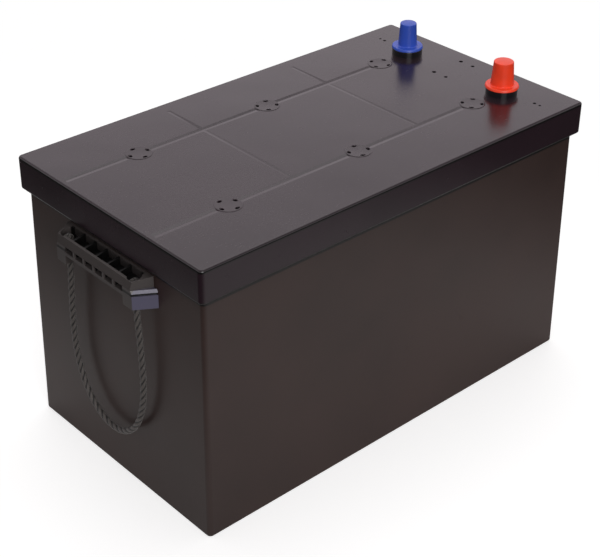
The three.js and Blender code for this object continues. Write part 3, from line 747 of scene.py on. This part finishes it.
def studio_world(settings):
    """A world that is white to look at, grey as a light, and brightest low down in mirrors."""
    world = bpy.data.worlds.new("Studio")
    world.use_nodes = True
    tree = world.node_tree
    rays = node(tree, "ShaderNodeLightPath").outputs
    way = node(tree, "ShaderNodeTexCoord").outputs["Generated"]
    height = node(tree, "ShaderNodeSeparateXYZ", {"Vector": way}).outputs["Z"]
    low_sky = mapped(tree, height, *LOW_SKY, settings.horizon, 1)
    high_sky = mapped(tree, height, *HIGH_SKY, 1, ZENITH)
    tinted = blended(
        tree, combined(tree, "MULTIPLY", low_sky, high_sky), (0, 0, 0), settings.sky_colour
    )
    mirrored = node(
        tree, "ShaderNodeVectorMath", {0: tinted, "Scale": SKY_PEAK}, operation="SCALE"
    )
    seen = combined(tree, "MAXIMUM", rays["Is Camera Ray"], rays["Is Transmission Ray"])
    grey = (settings.ambient,) * 3
    light = blended(tree, rays["Is Glossy Ray"], grey, mirrored.outputs["Vector"])
    light = blended(tree, seen, light, (1, 1, 1))
    tree.links.new(light, tree.nodes["Background"].inputs["Color"])
    bpy.context.scene.world = world


def studio_floor(settings):
    """A wide pale floor that looks white in the open and keeps a soft shadow."""
    bm = bmesh.new()
    bmesh.ops.create_grid(bm, x_segments=1, y_segments=1, size=9)
    floor = loose_object(bm, "stage_floor")
    material, tree = new_finish(
        "Pale floor", Specular_IOR_Level=0.0, Emission_Color=(1, 1, 1, 1)
    )
    away = node(
        tree, "ShaderNodeVectorMath", {0: place(tree, FLOOR_STRETCH)}, operation="LENGTH"
    )
    share = mapped(tree, away.outputs["Value"], *FLOOR_FADE)
    tone = blended(tree, share, settings.near_colour, settings.far_colour)
    rays = node(tree, "ShaderNodeLightPath").outputs
    glow = mapped(tree, share, 0, 1, settings.near_glow, settings.far_glow)
    glow = combined(tree, "MULTIPLY", rays["Is Camera Ray"], glow)
    floor.data.materials.append(dressed(material, Base_Color=tone, Emission_Strength=glow))


class BATTERY_OT_stage(bpy.types.Operator):
    """Make the camera, the lamps, the white world and the floor"""
    bl_idname = "battery.stage"
    bl_label = "Stage"

    def execute(self, context):
        settings = context.scene.battery_stage
        studio_camera(settings)
        studio_world(settings)
        studio_floor(settings)
        soft_lamp("Top light", TOP_LAMP, settings.top_size, settings.top_power)
        soft_lamp("Side light", SIDE_LAMP, settings.side_size, settings.side_power)
        context.scene.view_settings.view_transform = "Standard"
        return {"FINISHED"}


# ---------------------------------------------------------------- rope handles


def smooth_line(points, steps):
    """A centripetal Catmull-Rom line through the points."""
    ends = [2 * points[0] - points[1], *points, 2 * points[-1] - points[-2]]
    line = []
    for a, b, c, d in zip(ends, ends[1:], ends[2:], ends[3:]):
        before, span, after = (math.sqrt((q - p).length) for p, q in ((a, b), (b, c), (c, d)))
        leave = ((b - a) / before - (c - a) / (before + span) + (c - b) / span) * span
        arrive = ((c - b) / span - (d - b) / (span + after) + (d - c) / after) * span
        line += interpolate_bezier(b, b + leave / 3, c - arrive / 3, c, steps + 1)[:-1]
    return [*line, points[-1]]


def line_length(line):
    return sum((b - a).length for a, b in zip(line, line[1:]))


def even_line(line, count):
    """The same line, with its points an even distance apart."""
    step = line_length(line) / (count - 1)
    made, walked = [line[0]], 0.0
    for a, b in zip(line, line[1:]):
        length_here = (b - a).length
        while walked + length_here >= step * len(made) and len(made) < count - 1:
            made.append(a.lerp(b, (step * len(made) - walked) / length_here))
        walked += length_here
    return [*made, line[-1]]


def hanging_route(side):
    """The loop from one exit to the other, in metres."""
    other_half = [(-y, z) for y, z in reversed(ROPE_HALF_ROUTE)]
    route = [*ROPE_HALF_ROUTE, ROPE_LOWEST, *other_half]
    return [Vector((side * ROPE_X, y, z)) * MM for y, z in route]


def twisted_strands(line, radii, turns, settings, around=36):
    """A flat grid rolled round a line into a rope of twisted strands, with both ends closed.

    Each place on the line has its own radius and its own number of turns of the strands.
    """
    rings = len(line)
    bm = bmesh.new()
    depth_of = bm.verts.layers.float.new("strand_depth")
    uv_of = bm.loops.layers.uv.new("strand")
    bmesh.ops.create_grid(bm, x_segments=rings - 1, y_segments=around, size=0.5)
    for face in bm.faces:
        for loop in face.loops:
            ring = round((loop.vert.co.x + 0.5) * (rings - 1))
            share = loop.vert.co.y + 0.5
            travelled = ring / (rings - 1)
            loop[uv_of].uv = ((share - turns[ring]) * settings.strands, travelled)
    last = rings - 1
    along_at = [
        (line[min(i + 1, last)] - line[max(i - 1, 0)]).normalized() for i in range(rings)
    ]
    across = along_at[0].cross(Vector((0, 1, 0))).normalized()
    across_at = []
    for before, after in zip([along_at[0], *along_at], along_at):
        across = before.rotation_difference(after) @ across
        across_at.append(across.copy())
    for vert in bm.verts:
        ring = round((vert.co.x + 0.5) * (rings - 1))
        angle = 2 * math.pi * (vert.co.y + 0.5)
        swing = settings.strands * (angle - 2 * math.pi * turns[ring]) / 2
        vert[depth_of] = 1 - abs(math.cos(swing)) ** 0.8
        radius = radii[ring] * (1 - settings.groove_share * vert[depth_of])
        other = along_at[ring].cross(across_at[ring])
        way = across_at[ring] * math.cos(angle) + other * math.sin(angle)
        vert.co = line[ring] + way * radius
    return closed(bm)


class BATTERY_OT_ropes(bpy.types.Operator):
    """Make the two hanging rope handles"""
    bl_idname = "battery.ropes"
    bl_label = "Rope handles"

    def execute(self, context):
        settings = context.scene.battery_handle
        yarn = rope_yarn("Rope yarn", settings)
        for end, side in ENDS.items():
            line = even_line(smooth_line(hanging_route(side), 12), ROPE_RINGS)
            total = line_length(line)
            lays = round(total / settings.lay_length)
            turns = [lays * ring / (ROPE_RINGS - 1) for ring in range(ROPE_RINGS)]
            radii = [ROPE_DIAMETER / 2 * MM] * ROPE_RINGS
            rope = loose_object(twisted_strands(line, radii, turns, settings), f"rope_{end}")
            rope.data.shade_smooth()
            rope.data.materials.append(yarn)
            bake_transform(rope)
            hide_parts(f"handle_rope_{end}")
        return {"FINISHED"}


def stopper_knot(where, settings):
    """The rope's end: up through the bracket, then swelling into a round knot of its strands."""
    tail, ball = KNOT_BOTTOM - ROPE_HOLE_BOTTOM, 2 * KNOT_RADIUS
    line, radii, turns = [], [], []
    for ring in range(KNOT_RINGS):
        share = ring / (KNOT_RINGS - 1)
        z = share * (tail + ball)
        round_share = min(max((z - tail) / KNOT_RADIUS - 1, -1), 1)
        swell = math.sqrt(max(1 - round_share ** 2, 0)) * KNOT_RADIUS
        line.append(where + Vector((0, 0, z * MM)))
        neck = ROPE_DIAMETER / 2 if z < tail + KNOT_RADIUS else 0.05
        radii.append(max(swell, neck) * MM)
        turns.append(z / (settings.lay_length / MM) + 0.35 * (1 + round_share))
    return twisted_strands(line, radii, turns, settings)


class BATTERY_OT_brackets(bpy.types.Operator):
    """Make the brackets at both ends, with the ropes' knots in them"""
    bl_idname = "battery.brackets"
    bl_label = "Handle brackets"

    def execute(self, context):
        settings = context.scene.battery_handle
        # Painted light: the end blocks take a painted reflection, and the groove under the lip,
        # the trough and the slots take painted shade
        ends = {"Y": (BLOCK_FRONT_HALF, BLOCK_BACK_HALF + 1), "Z": (BRACKET_BOTTOM, BLOCK_TOP)}
        recess = {"Y": (BLOCK_INNER, BLOCK_BACK_HALF + 1), "Z": (GROOVE_BOTTOM, LIP_BOTTOM)}
        trough = {
            "X": (TROUGH_BACK, TROUGH_FRONT - 0.3), "Y": (-1, TROUGH_HALF + 3),
            "Z": (BLOCK_TOP, BRACKET_TOP + 1),
        }
        slots = {
            "X": (SLOT_BACK - 1, BRACKET_FRONT - 2), "Y": (-1, BLOCK_INNER),
            "Z": (BAR_TOP + 0.2, BLOCK_TOP - 0.2),
        }
        bracket_shade = context.scene.battery_shell.painted_shade_colour
        plastic = moulded_plastic(
            "Bracket plastic", settings.bracket_colour, roughness=0.32, grain=0.4, wear=0.4,
            painted_light_zones=[(settings.end_reflection_colour, ends), (bracket_shade, recess), (bracket_shade, trough), (bracket_shade, slots)],
        )
        yarn = bpy.data.materials["Rope yarn"]
        for end, side in ENDS.items():
            body = carved(bracket_body(side), bracket_tools(side))
            node_name = f"handle_bracket_{end}"
            finished(
                f"bracket_{end}", body, ROOT, plastic, [node_name], settings.edge
            )
            for hand in ("left", "right"):
                node_name = f"rope_knot_{end}_{hand}"
                low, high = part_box(node_name)
                where = Vector((side * ROPE_X * MM, (low.y + high.y) / 2, ROPE_HOLE_BOTTOM * MM))
                knot = stopper_knot(where, settings)
                finished(f"knot_{end}_{hand}", knot, ROOT, yarn, [node_name])
        return {"FINISHED"}


def at_end(side, x0, x1, y0, y1, z0, z1):
    """A box at one end of the battery, from sizes in millimetres measured at the +X end."""
    xs = sorted((side * x0, side * x1))
    return block(Vector((xs[0], y0, z0)) * MM, Vector((xs[1], y1, z1)) * MM)


def trimmed(bm, point, normal):
    """Cuts away what lies past a plane, and closes the cut."""
    cut = bmesh.ops.bisect_plane(
        bm, geom=[*bm.verts, *bm.edges, *bm.faces], plane_co=point, plane_no=normal,
        clear_outer=True,
    )
    edges = [e for e in cut["geom_cut"] if isinstance(e, bmesh.types.BMEdge)]
    bmesh.ops.contextual_create(bm, geom=edges)
    return bm


def slanted_ends(bm, side, back_half, front_half, from_z=0.0, slope=0.0, inset=0.0):
    """Trims both ends of a bracket's part along a line from its back to its front."""
    for hand in (-1, 1):
        back = Vector((side * BRACKET_BACK, hand * back_half, from_z))
        front = Vector((side * BRACKET_FRONT, hand * front_half, from_z))
        run = front - back
        level = Vector((side * abs(run.y), hand * abs(run.x), 0)).normalized()
        normal = level * math.cos(slope) + Vector((0, 0, math.sin(slope)))
        trimmed(bm, (back - level * inset) * MM, normal)
    return bm


def end_blocks(side):
    """The lower part, whose ends slant in plan and carry a sloping lip."""
    half = BLOCK_BACK_HALF
    bm = at_end(side, BRACKET_BACK, BRACKET_FRONT, -half, half, BRACKET_BOTTOM, BLOCK_TOP)
    slanted_ends(bm, side, BLOCK_BACK_HALF, BLOCK_FRONT_HALF)
    return slanted_ends(bm, side, BLOCK_BACK_HALF, BLOCK_FRONT_HALF, LIP_BOTTOM, LIP_SLOPE)


def tray(side):
    """The upper part, whose front leans back and whose rim climbs towards the case."""
    half = TRAY_BACK_HALF
    sunk = BLOCK_TOP - 1
    bm = at_end(side, BRACKET_BACK, BRACKET_FRONT, -half, half, sunk, BRACKET_TOP)
    slanted_ends(bm, side, TRAY_BACK_HALF, TRAY_FRONT_HALF)
    lean_height = TRAY_FRONT_TOP - BLOCK_TOP
    foot = Vector((side * BRACKET_FRONT, 0, BLOCK_TOP)) * MM
    trimmed(bm, foot, (side * lean_height, 0, TRAY_LEAN))
    back = Vector((side * BRACKET_BACK, 0, BRACKET_TOP)) * MM
    depth = BRACKET_FRONT - TRAY_LEAN - BRACKET_BACK
    return trimmed(bm, back, (side * (BRACKET_TOP - TRAY_FRONT_TOP), 0, depth))


def bracket_body(side):
    return carved(end_blocks(side), [tray(side)], "UNION")


def pocket_row(side, half, x0, x1, z0, z1):
    """Tools for a row of equal pockets with thin ribs between them."""
    pitch = (2 * half + BRACKET_RIB) / BRACKET_POCKETS
    starts = [index * pitch - half for index in range(BRACKET_POCKETS)]
    return [at_end(side, x0, x1, y, y + pitch - BRACKET_RIB, z0, z1) for y in starts]


def end_groove(side):
    """A tool for the level groove under the lip of both ends."""
    half = BLOCK_BACK_HALF + 2
    outer = at_end(
        side, BRACKET_BACK - 2, BRACKET_FRONT + 2, -half, half, GROOVE_BOTTOM, GROOVE_TOP
    )
    inner = at_end(
        side, BRACKET_BACK - 3, BRACKET_FRONT + 3, -half, half, GROOVE_BOTTOM - 1, GROOVE_TOP + 1
    )
    slanted_ends(inner, side, BLOCK_BACK_HALF, BLOCK_FRONT_HALF, inset=GROOVE_DEPTH)
    return carved(outer, [inner])


def bracket_tools(side):
    over = 1
    tools = [at_end(
        side, BRACKET_BACK - over, BRACKET_FRONT + over, -BLOCK_INNER, BLOCK_INNER,
        BRACKET_BOTTOM - over, BAR_BOTTOM,
    )]
    tools += pocket_row(side, BLOCK_INNER, SLOT_BACK, BRACKET_FRONT + over, BAR_TOP, BLOCK_TOP)
    tools += pocket_row(
        side, TROUGH_HALF, TROUGH_BACK, TROUGH_FRONT, TROUGH_FLOOR, BRACKET_TOP + over
    )
    tools.append(end_groove(side))
    for hand in (-1, 1):
        tools.append(spun(
            [
                (0, BRACKET_BOTTOM - over, 0), (ROPE_HOLE, BRACKET_BOTTOM - over, 0),
                (ROPE_HOLE, KNOT_SEAT, 0), (KNOT_POCKET, KNOT_SEAT, 0.4),
                (KNOT_POCKET, BRACKET_TOP + over, 0), (0, BRACKET_TOP + over, 0),
            ],
            (side * ROPE_X * MM, hand * ROPE_EXIT_Y * MM, 0), 32,
        ))
    return tools


# ---------------------------------------------------------------- case and lid


def cell_grid(settings):
    """The low and high corners, seen from above, of the six cells."""
    half_x, half_y = RIM_HALF_X - settings.wall, RIM_HALF_Y - settings.wall
    size_x = (2 * half_x - 2 * settings.partition) / 3
    size_y = (2 * half_y - settings.partition) / 2
    cells = []
    for number in CELLS:
        centre = middle(f"separator_{number}")
        low = (centre.x - size_x / 2, centre.y - size_y / 2)
        cells.append((low, (centre.x + size_x / 2, centre.y + size_y / 2)))
    return cells


def link_hole(number):
    """A round tool for the hole that a cell link passes its partition through."""
    low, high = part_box(f"cell_link_{number}")
    size = high - low
    axis = (1, 0, 0) if size.x < size.y else (0, 1, 0)
    turn = Vector((0, 0, 1)).rotation_difference(Vector(axis)).to_matrix().to_4x4()
    bm = bmesh.new()
    radius = size.z / 2 + LINK_CLEARANCE * MM
    bmesh.ops.create_cone(
        bm, cap_ends=True, segments=40, radius1=radius, radius2=radius, depth=max(size.z, 0.006),
        matrix=Matrix.Translation((low + high) / 2) @ turn,
    )
    return bm


class BATTERY_OT_case(bpy.types.Operator):
    """Make the case with its six cells and the ribs that carry the plates"""
    bl_idname = "battery.case"
    bl_label = "Case"

    def execute(self, context):
        settings = context.scene.battery_shell
        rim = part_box("container")[1].z
        shell = rounded_block(RIM_HALF_X, RIM_HALF_Y, 0, rim, settings.corner, BASE_SPREAD)
        bevelled(shell, rim_edges(shell, 0), settings.base_edge, 4)
        bevelled(shell, rim_edges(shell, rim), settings.wall / 4, 2)
        cells = cell_grid(settings)
        floor = settings.floor
        over = 5 * MM
        shell = carved(shell, [block((*low, floor), (*high, rim + over)) for low, high in cells])
        rests = []
        for low, high in cells:
            for shift in (-REST_SPACING, 0, REST_SPACING):
                x = (low[0] + high[0]) / 2 + shift * MM
                half = REST_WIDTH / 2 * MM
                rests.append(block(
                    (x - half, low[1] - MM, floor - MM),
                    (x + half, high[1] + MM, floor + REST_HEIGHT * MM),
                ))
        shell = carved(shell, rests, "UNION")
        shell = carved(shell, [link_hole(number) for number in range(1, 6)])
        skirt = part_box("lid")[0].z / MM
        # Painted shade: the case's wall turns near-black in a band just under the lid's skirt
        painted_light_zones = [(settings.painted_shade_colour, {"Z": (skirt - WALL_SHADE_BAND, skirt + 100)})]
        plastic = moulded_plastic("Container plastic", settings.case_colour, 0.36, painted_light_zones=painted_light_zones)
        finished("container_shell", shell, ROOT, plastic, ["container"])
        return {"FINISHED"}


def on_lid(name):
    """The place on the lid's top over the middle of a frame node."""
    centre = middle(name)
    return Vector((centre.x, centre.y, LID_TOP))


def lid_groove(start, way, run, half, depth):
    """A tool for a wide shallow groove in the lid's top, from start, run long, along X or Y."""
    edge, bottom = half - 0.2, half * 0.15
    section = [
        (-half, 1), (-half, 0), (-edge, -depth * 0.05), (-bottom, -depth),
        (bottom, -depth), (edge, -depth * 0.05), (half, 0), (half, 1),
    ]
    bm = bmesh.new()
    across = Vector((way[1], way[0], 0)) * MM
    verts = [bm.verts.new(Vector(start) + across * u + Vector((0, 0, z * MM))) for u, z in section]
    face = bm.faces.new(verts)
    made = bmesh.ops.extrude_face_region(bm, geom=[face])["geom"]
    moved = [v for v in made if isinstance(v, bmesh.types.BMVert)]
    bmesh.ops.translate(bm, verts=moved, vec=Vector((*way, 0)) * run)
    bmesh.ops.recalc_face_normals(bm, faces=bm.faces)
    return bm


def lid_grooves():
    """Two grooves along the vent rows, and two faint ones across between the cells."""
    left = -LID_HALF_X + LINE_MARGIN * MM
    run = middle("vent_plug_1").x - left
    tools = [
        lid_groove((left, y, LID_TOP), (1, 0), run, ROW_LINE_HALF, ROW_LINE_DEPTH)
        for y in (-VENT_Y, VENT_Y)
    ]
    length = CROSS_LINE_LENGTH * MM
    for x in (-CROSS_LINE_X * MM, CROSS_LINE_X * MM):
        start = (x, -VENT_Y, LID_TOP)
        tools.append(lid_groove(start, (0, 1), length, CROSS_LINE_HALF, CROSS_LINE_DEPTH))
    return tools


def vent_tool(number, lip):
    """A spun tool for a vent's counterbore and bore."""
    return spun(
        [
            (0, 2, 0), (SEAT_RADIUS + lip, 2, 0), (SEAT_RADIUS + lip, 0, 0), (SEAT_RADIUS, 0, lip),
            (SEAT_RADIUS, -SEAT_DEPTH, 0.4), (BORE_RADIUS, -SEAT_DEPTH, 0.3),
            (BORE_RADIUS, -BOSS_DEPTH - 1, 0), (0, -BOSS_DEPTH - 1, 0),
        ],
        on_lid(f"vent_ring_{number}"),
    )


def terminal_tool(name):
    """A spun tool for the room that a post's sleeve and its flange take in the lid."""
    flange, sleeve, seal = (
        radius + POST_GAP for radius in (FLANGE_RADIUS, SLEEVE_RADIUS[name], SEAL_RADIUS)
    )
    return spun(
        [
            (0, -LAND_DEPTH - 1, 0), (flange, -LAND_DEPTH - 1, 0),
            (flange, FLANGE_TOP + POST_GAP, 0), (sleeve, FLANGE_TOP + POST_GAP, 0),
            (sleeve, SEAL_BOTTOM - POST_GAP, 0), (seal, SEAL_BOTTOM - POST_GAP, 0),
            (seal, TURRET_HEIGHT + 1, 0), (0, TURRET_HEIGHT + 1, 0),
        ],
        on_lid(f"terminal_sleeve_{name}"),
    )


class BATTERY_OT_lid(bpy.types.Operator):
    """Make the lid with its skirt, vent seats and terminal turrets"""
    bl_idname = "battery.lid"
    bl_label = "Lid"

    def execute(self, context):
        settings = context.scene.battery_shell
        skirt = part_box("lid")[0].z
        shell = rounded_block(LID_HALF_X, LID_HALF_Y, skirt, LID_TOP, settings.corner)
        bevelled(shell, rim_edges(shell, LID_TOP), settings.lid_edge, 5)
        bevelled(shell, rim_edges(shell, skirt), settings.skirt_edge, 3)
        land = LID_TOP - LAND_DEPTH * MM
        roof = LID_TOP - settings.roof
        clear = SOCKET_CLEARANCE * MM
        socket = rounded_block(
            RIM_HALF_X + clear, RIM_HALF_Y + clear, skirt - MM, land, settings.corner
        )
        headspaces = [
            block((*low, land - MM), (*high, roof)) for low, high in cell_grid(settings)
        ]
        shell = carved(shell, [socket, *headspaces])
        boss = disc(BOSS_RADIUS, -BOSS_DEPTH, -BOSS_SUNK, 0.8)
        bosses = [spun(boss, on_lid(f"vent_ring_{number}")) for number in CELLS]
        turret = disc(TURRET_RADIUS, -LAND_DEPTH, TURRET_HEIGHT, 0, 0.7)
        turrets = [spun(turret, on_lid(f"terminal_sleeve_{name}")) for name in POLES]
        shell = carved(shell, [*bosses, *turrets], "UNION")
        lip = context.scene.battery_vent.lip / MM
        tools = [vent_tool(number, lip) for number in CELLS]
        tools += [terminal_tool(name) for name in POLES]
        for x, y, radius in LID_HOLES:
            outline = pit(radius, HOLE_DEPTH, 0.3, 0.3)
            tools.append(spun(outline, (x * MM, y * MM, LID_TOP), 24))
        tools += lid_grooves()
        shell = carved(shell, tools)
        # Painted shade: the turrets under the caps, a band below the lid's top edge with the vent
        # seats and holes, and the skirt's foot turn near-black
        painted_light_zones = [
            (settings.turret_shade_colour, {"Z": (LID_TOP / MM + 0.3, LID_TOP / MM + 100)}),
            (settings.painted_shade_colour, {"Z": (LID_TOP / MM - EDGE_SHADE_BAND, LID_TOP / MM - 0.8)}),
            (settings.painted_shade_colour, {"Z": (skirt / MM - 1, skirt / MM + SKIRT_SHADE_BAND)}),
        ]
        plastic = moulded_plastic(
            "Lid plastic", settings.lid_colour, roughness=0.23, dust=settings.dust_colour,
            painted_light_zones=painted_light_zones,
        )
        finished("lid_shell", shell, ROOT, plastic, ["lid"])
        return {"FINISHED"}


# ---------------------------------------------------------------- vents


def screw_thread(settings):
    """A helical ridge round a plug's stem, with closed ends."""
    bm = bmesh.new()
    pitch = settings.thread_pitch
    low = (-PLUG_LENGTH + 1.5) * MM
    inner, outer = (PLUG_STEM - 0.3) * MM, (PLUG_STEM + THREAD_HEIGHT) * MM
    section = [(inner, low), (outer, low + pitch * 0.25), (inner, low + pitch * 0.5)]
    verts = [bm.verts.new((radius, 0, z)) for radius, z in section]
    edges = [bm.edges.new((verts[i], verts[i - 1])) for i in range(3)]
    steps = 36 * THREAD_TURNS
    bmesh.ops.spin(
        bm, geom=verts + edges, cent=(0, 0, 0), axis=(0, 0, 1),
        dvec=(0, 0, pitch * THREAD_TURNS / steps), angle=2 * math.pi * THREAD_TURNS, steps=steps,
    )
    return closed(bm)


def vent_plug(settings):
    """A flush screw plug about the origin: head, hollow stem with a thread, nipple, pin holes."""
    lip = settings.lip / MM
    body = spun(
        [
            (0, 0, 0), (PLUG_RADIUS, 0, lip), (PLUG_RADIUS, -PLUG_HEAD, 0.3),
            (PLUG_STEM, -PLUG_HEAD, 0), (PLUG_STEM, -PLUG_LENGTH, 0.5),
            (PLUG_HOLLOW, -PLUG_LENGTH, 0.3), (PLUG_HOLLOW, -HOLLOW_TOP, 0),
            (NIPPLE_RADIUS, -HOLLOW_TOP, 0), (NIPPLE_RADIUS, -NIPPLE_BOTTOM, 0.4),
            (0, -NIPPLE_BOTTOM, 0),
        ],
        (0, 0, 0),
    )
    body = carved(body, [screw_thread(settings)], "UNION")
    hole, circle, depth = (settings.pin_hole / MM, settings.pin_circle, settings.pin_depth / MM)
    holes = []
    for quarter in range(4):
        turn = Matrix.Rotation(quarter * math.pi / 2, 3, "Z")
        tool = spun(pit(hole, depth, 0.25, 0.4), (0, 0, 0), 28)
        bmesh.ops.scale(tool, verts=tool.verts, vec=(1, settings.pin_stretch, 1))
        bmesh.ops.translate(tool, verts=tool.verts, vec=(circle, 0, 0))
        bmesh.ops.rotate(tool, verts=tool.verts, cent=(0, 0, 0), matrix=turn)
        holes.append(tool)
    return carved(body, holes)


class BATTERY_OT_vents(bpy.types.Operator):
    """Make the six vent plugs with their sealing rings and rubber valves"""
    bl_idname = "battery.vents"
    bl_label = "Vents"

    def execute(self, context):
        settings = context.scene.battery_vent
        plastic = moulded_plastic(
            "Plug plastic", settings.plug_colour, roughness=0.3,
            dust=context.scene.battery_shell.dust_colour, wear=0.4,
        )
        rubber = seal_rubber("Seal rubber", settings.rubber_colour)
        for number in CELLS:
            where = on_lid(f"vent_ring_{number}")
            plug = vent_plug(settings)
            turn = Matrix.Rotation(math.radians(PLUG_TURNS[number]), 3, "Z")
            bmesh.ops.rotate(plug, verts=plug.verts, cent=(0, 0, 0), matrix=turn)
            bmesh.ops.translate(plug, verts=plug.verts, vec=where)
            finished(
                f"vent_{number}_plug", plug, f"vent_screw_{number}", plastic,
                [f"vent_plug_{number}"],
            )
            ring = spun(
                [(RING_INNER, RING_BOTTOM, 0.6), (RING_OUTER, RING_BOTTOM, 0.6),
                 (RING_OUTER, RING_TOP, 0.6), (RING_INNER, RING_TOP, 0.6)],
                where,
            )
            valve = spun(
                [
                    (0, VALVE_BOTTOM, 0), (VALVE_RADIUS, VALVE_BOTTOM, 1),
                    (VALVE_RADIUS, VALVE_TOP, 0.7), (VALVE_INNER, VALVE_TOP, 0.5),
                    (VALVE_INNER, VALVE_FLOOR, 0), (0, VALVE_FLOOR, 0),
                ],
                where, 40,
            )
            for kind, made in (("ring", ring), ("valve", valve)):
                finished(
                    f"vent_{number}_{kind}", made, f"vent_lift_{number}", rubber,
                    [f"vent_{kind}_{number}"],
                )
        return {"FINISHED"}


# ---------------------------------------------------------------- terminals


class BATTERY_OT_terminals(bpy.types.Operator):
    """Make the two posts with their seals and coloured caps"""
    bl_idname = "battery.terminals"
    bl_label = "Terminals"

    def execute(self, context):
        settings = context.scene.battery_terminal
        lead = cast_lead("Cast lead", settings.lead_colour)
        resin = sealing_resin("Sealing resin", settings.resin_colour)
        colours = {"negative": settings.negative_colour, "positive": settings.positive_colour}
        for name in POLES:
            where = on_lid(f"terminal_sleeve_{name}")
            sleeve, pillar = SLEEVE_RADIUS[name], PILLAR_RADIUS[name]
            post_top = (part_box(f"terminal_sleeve_{name}")[1].z - LID_TOP) / MM
            post_foot = (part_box(f"terminal_pillar_{name}")[0].z - LID_TOP) / MM
            bore = pillar + POST_GAP
            pieces = {
                "sleeve": (lead, "lead", [
                    (bore, FLANGE_BOTTOM, 0), (FLANGE_RADIUS, FLANGE_BOTTOM, 0.5),
                    (FLANGE_RADIUS, FLANGE_TOP, 0.5), (sleeve, FLANGE_TOP, 0.4),
                    (sleeve, TURRET_HEIGHT, 0), (sleeve - SLEEVE_TAPER, post_top, 0.9),
                    (bore, post_top, 0.3),
                ]),
                "pillar": (lead, "lead", disc(pillar, post_foot, post_top, 0.5, 0.5)),
                "seal": (resin, "sealing_compound", [
                    (sleeve + POST_GAP, SEAL_BOTTOM, 0), (SEAL_RADIUS, SEAL_BOTTOM, 0),
                    (SEAL_RADIUS, TURRET_HEIGHT - 0.4, 0.3),
                    ((sleeve + SEAL_RADIUS) / 2, TURRET_HEIGHT, 2),
                    (sleeve + POST_GAP, TURRET_HEIGHT - 0.2, 0.2),
                ]),
            }
            for kind, (material, slot, outline) in pieces.items():
                finished(
                    f"post_{name}_{kind}", spun(outline, where), ROOT, material,
                    [f"terminal_{kind}_{name}"],
                )
            plastic = cap_plastic(f"Cap plastic {name}", colours[name])
            finished(
                f"cap_{name}_cover", spun(cap_outline(name, settings), where, 96), f"cap_{name}",
                plastic, [f"terminal_cap_{name}"],
            )
        return {"FINISHED"}


def cap_outline(name, settings):
    """A hollow cap's outline, with its heights measured from the lid's top."""
    low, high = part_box(f"terminal_cap_{name}")
    bottom, top = (low.z - LID_TOP) / MM, (high.z - LID_TOP) / MM
    flange = (high.x - low.x) / 2 / MM
    base, crown = CAP_RADII[name]
    wall = settings.cap_wall / MM
    ledge = bottom + settings.flange / MM
    return [
        (0, top, 0), (crown, top - 0.3, settings.shoulder / MM), (base, ledge, 1.1),
        (flange, ledge, 0.9), (flange, bottom, 0.5), (base - wall, bottom, 0.5),
        (crown - wall, top - wall - 0.4, 1.5), (0, top - wall - 0.3, 0),
    ]


# ---------------------------------------------------------------- cells


class BATTERY_OT_cells(bpy.types.Operator):
    """Finish the plates, the glass mats and the links inside the cells"""
    bl_idname = "battery.cells"
    bl_label = "Cells"

    def execute(self, context):
        settings = context.scene.battery_cell
        lead = context.scene.battery_terminal.lead_colour
        positive = pasted_plate("Positive plate", settings.positive_colour, lead)
        negative = pasted_plate("Negative plate", settings.negative_colour, lead)
        mat = glass_mat("Glass mat", settings.mat_colour)
        coated([f"positive_plates_{n}" for n in CELLS], positive)
        coated([f"negative_plates_{n}" for n in CELLS], negative)
        coated([f"separator_{n}" for n in CELLS], mat)
        coated([f"cell_link_{n}" for n in range(1, 6)], bpy.data.materials["Cast lead"])
        return {"FINISHED"}


# ---------------------------------------------------------------- panel and run


STEPS = ("stage", "ropes", "case", "lid", "vents", "terminals", "brackets", "cells")


class BATTERY_PT_panel(bpy.types.Panel):
    """Sizes and colours of the battery, and a button for each step"""
    bl_idname = "BATTERY_PT_panel"
    bl_label = "Deep Cycle Battery"
    bl_space_type = "VIEW_3D"
    bl_region_type = "UI"
    bl_category = "Battery"

    def draw(self, context):
        for step in STEPS:
            self.layout.operator(f"battery.{step}")
        for name, group in SETTINGS.items():
            box = self.layout.box()
            box.label(text=group.__doc__)
            for key in group.__annotations__:
                box.prop(getattr(context.scene, name), key)


CLASSES = (
    *SETTINGS.values(), BATTERY_OT_stage, BATTERY_OT_ropes, BATTERY_OT_case, BATTERY_OT_lid,
    BATTERY_OT_vents, BATTERY_OT_terminals, BATTERY_OT_brackets, BATTERY_OT_cells,
    BATTERY_PT_panel,
)


def register():
    for made in CLASSES:
        bpy.utils.register_class(made)
    for name, group in SETTINGS.items():
        setattr(bpy.types.Scene, name, PointerProperty(type=group))


def unregister():
    for name in SETTINGS:
        delattr(bpy.types.Scene, name)
    for made in reversed(CLASSES):
        bpy.utils.unregister_class(made)


def main():
    register()
    for step in STEPS:
        getattr(bpy.ops.battery, step)()


if __name__ == "__main__":
    main()
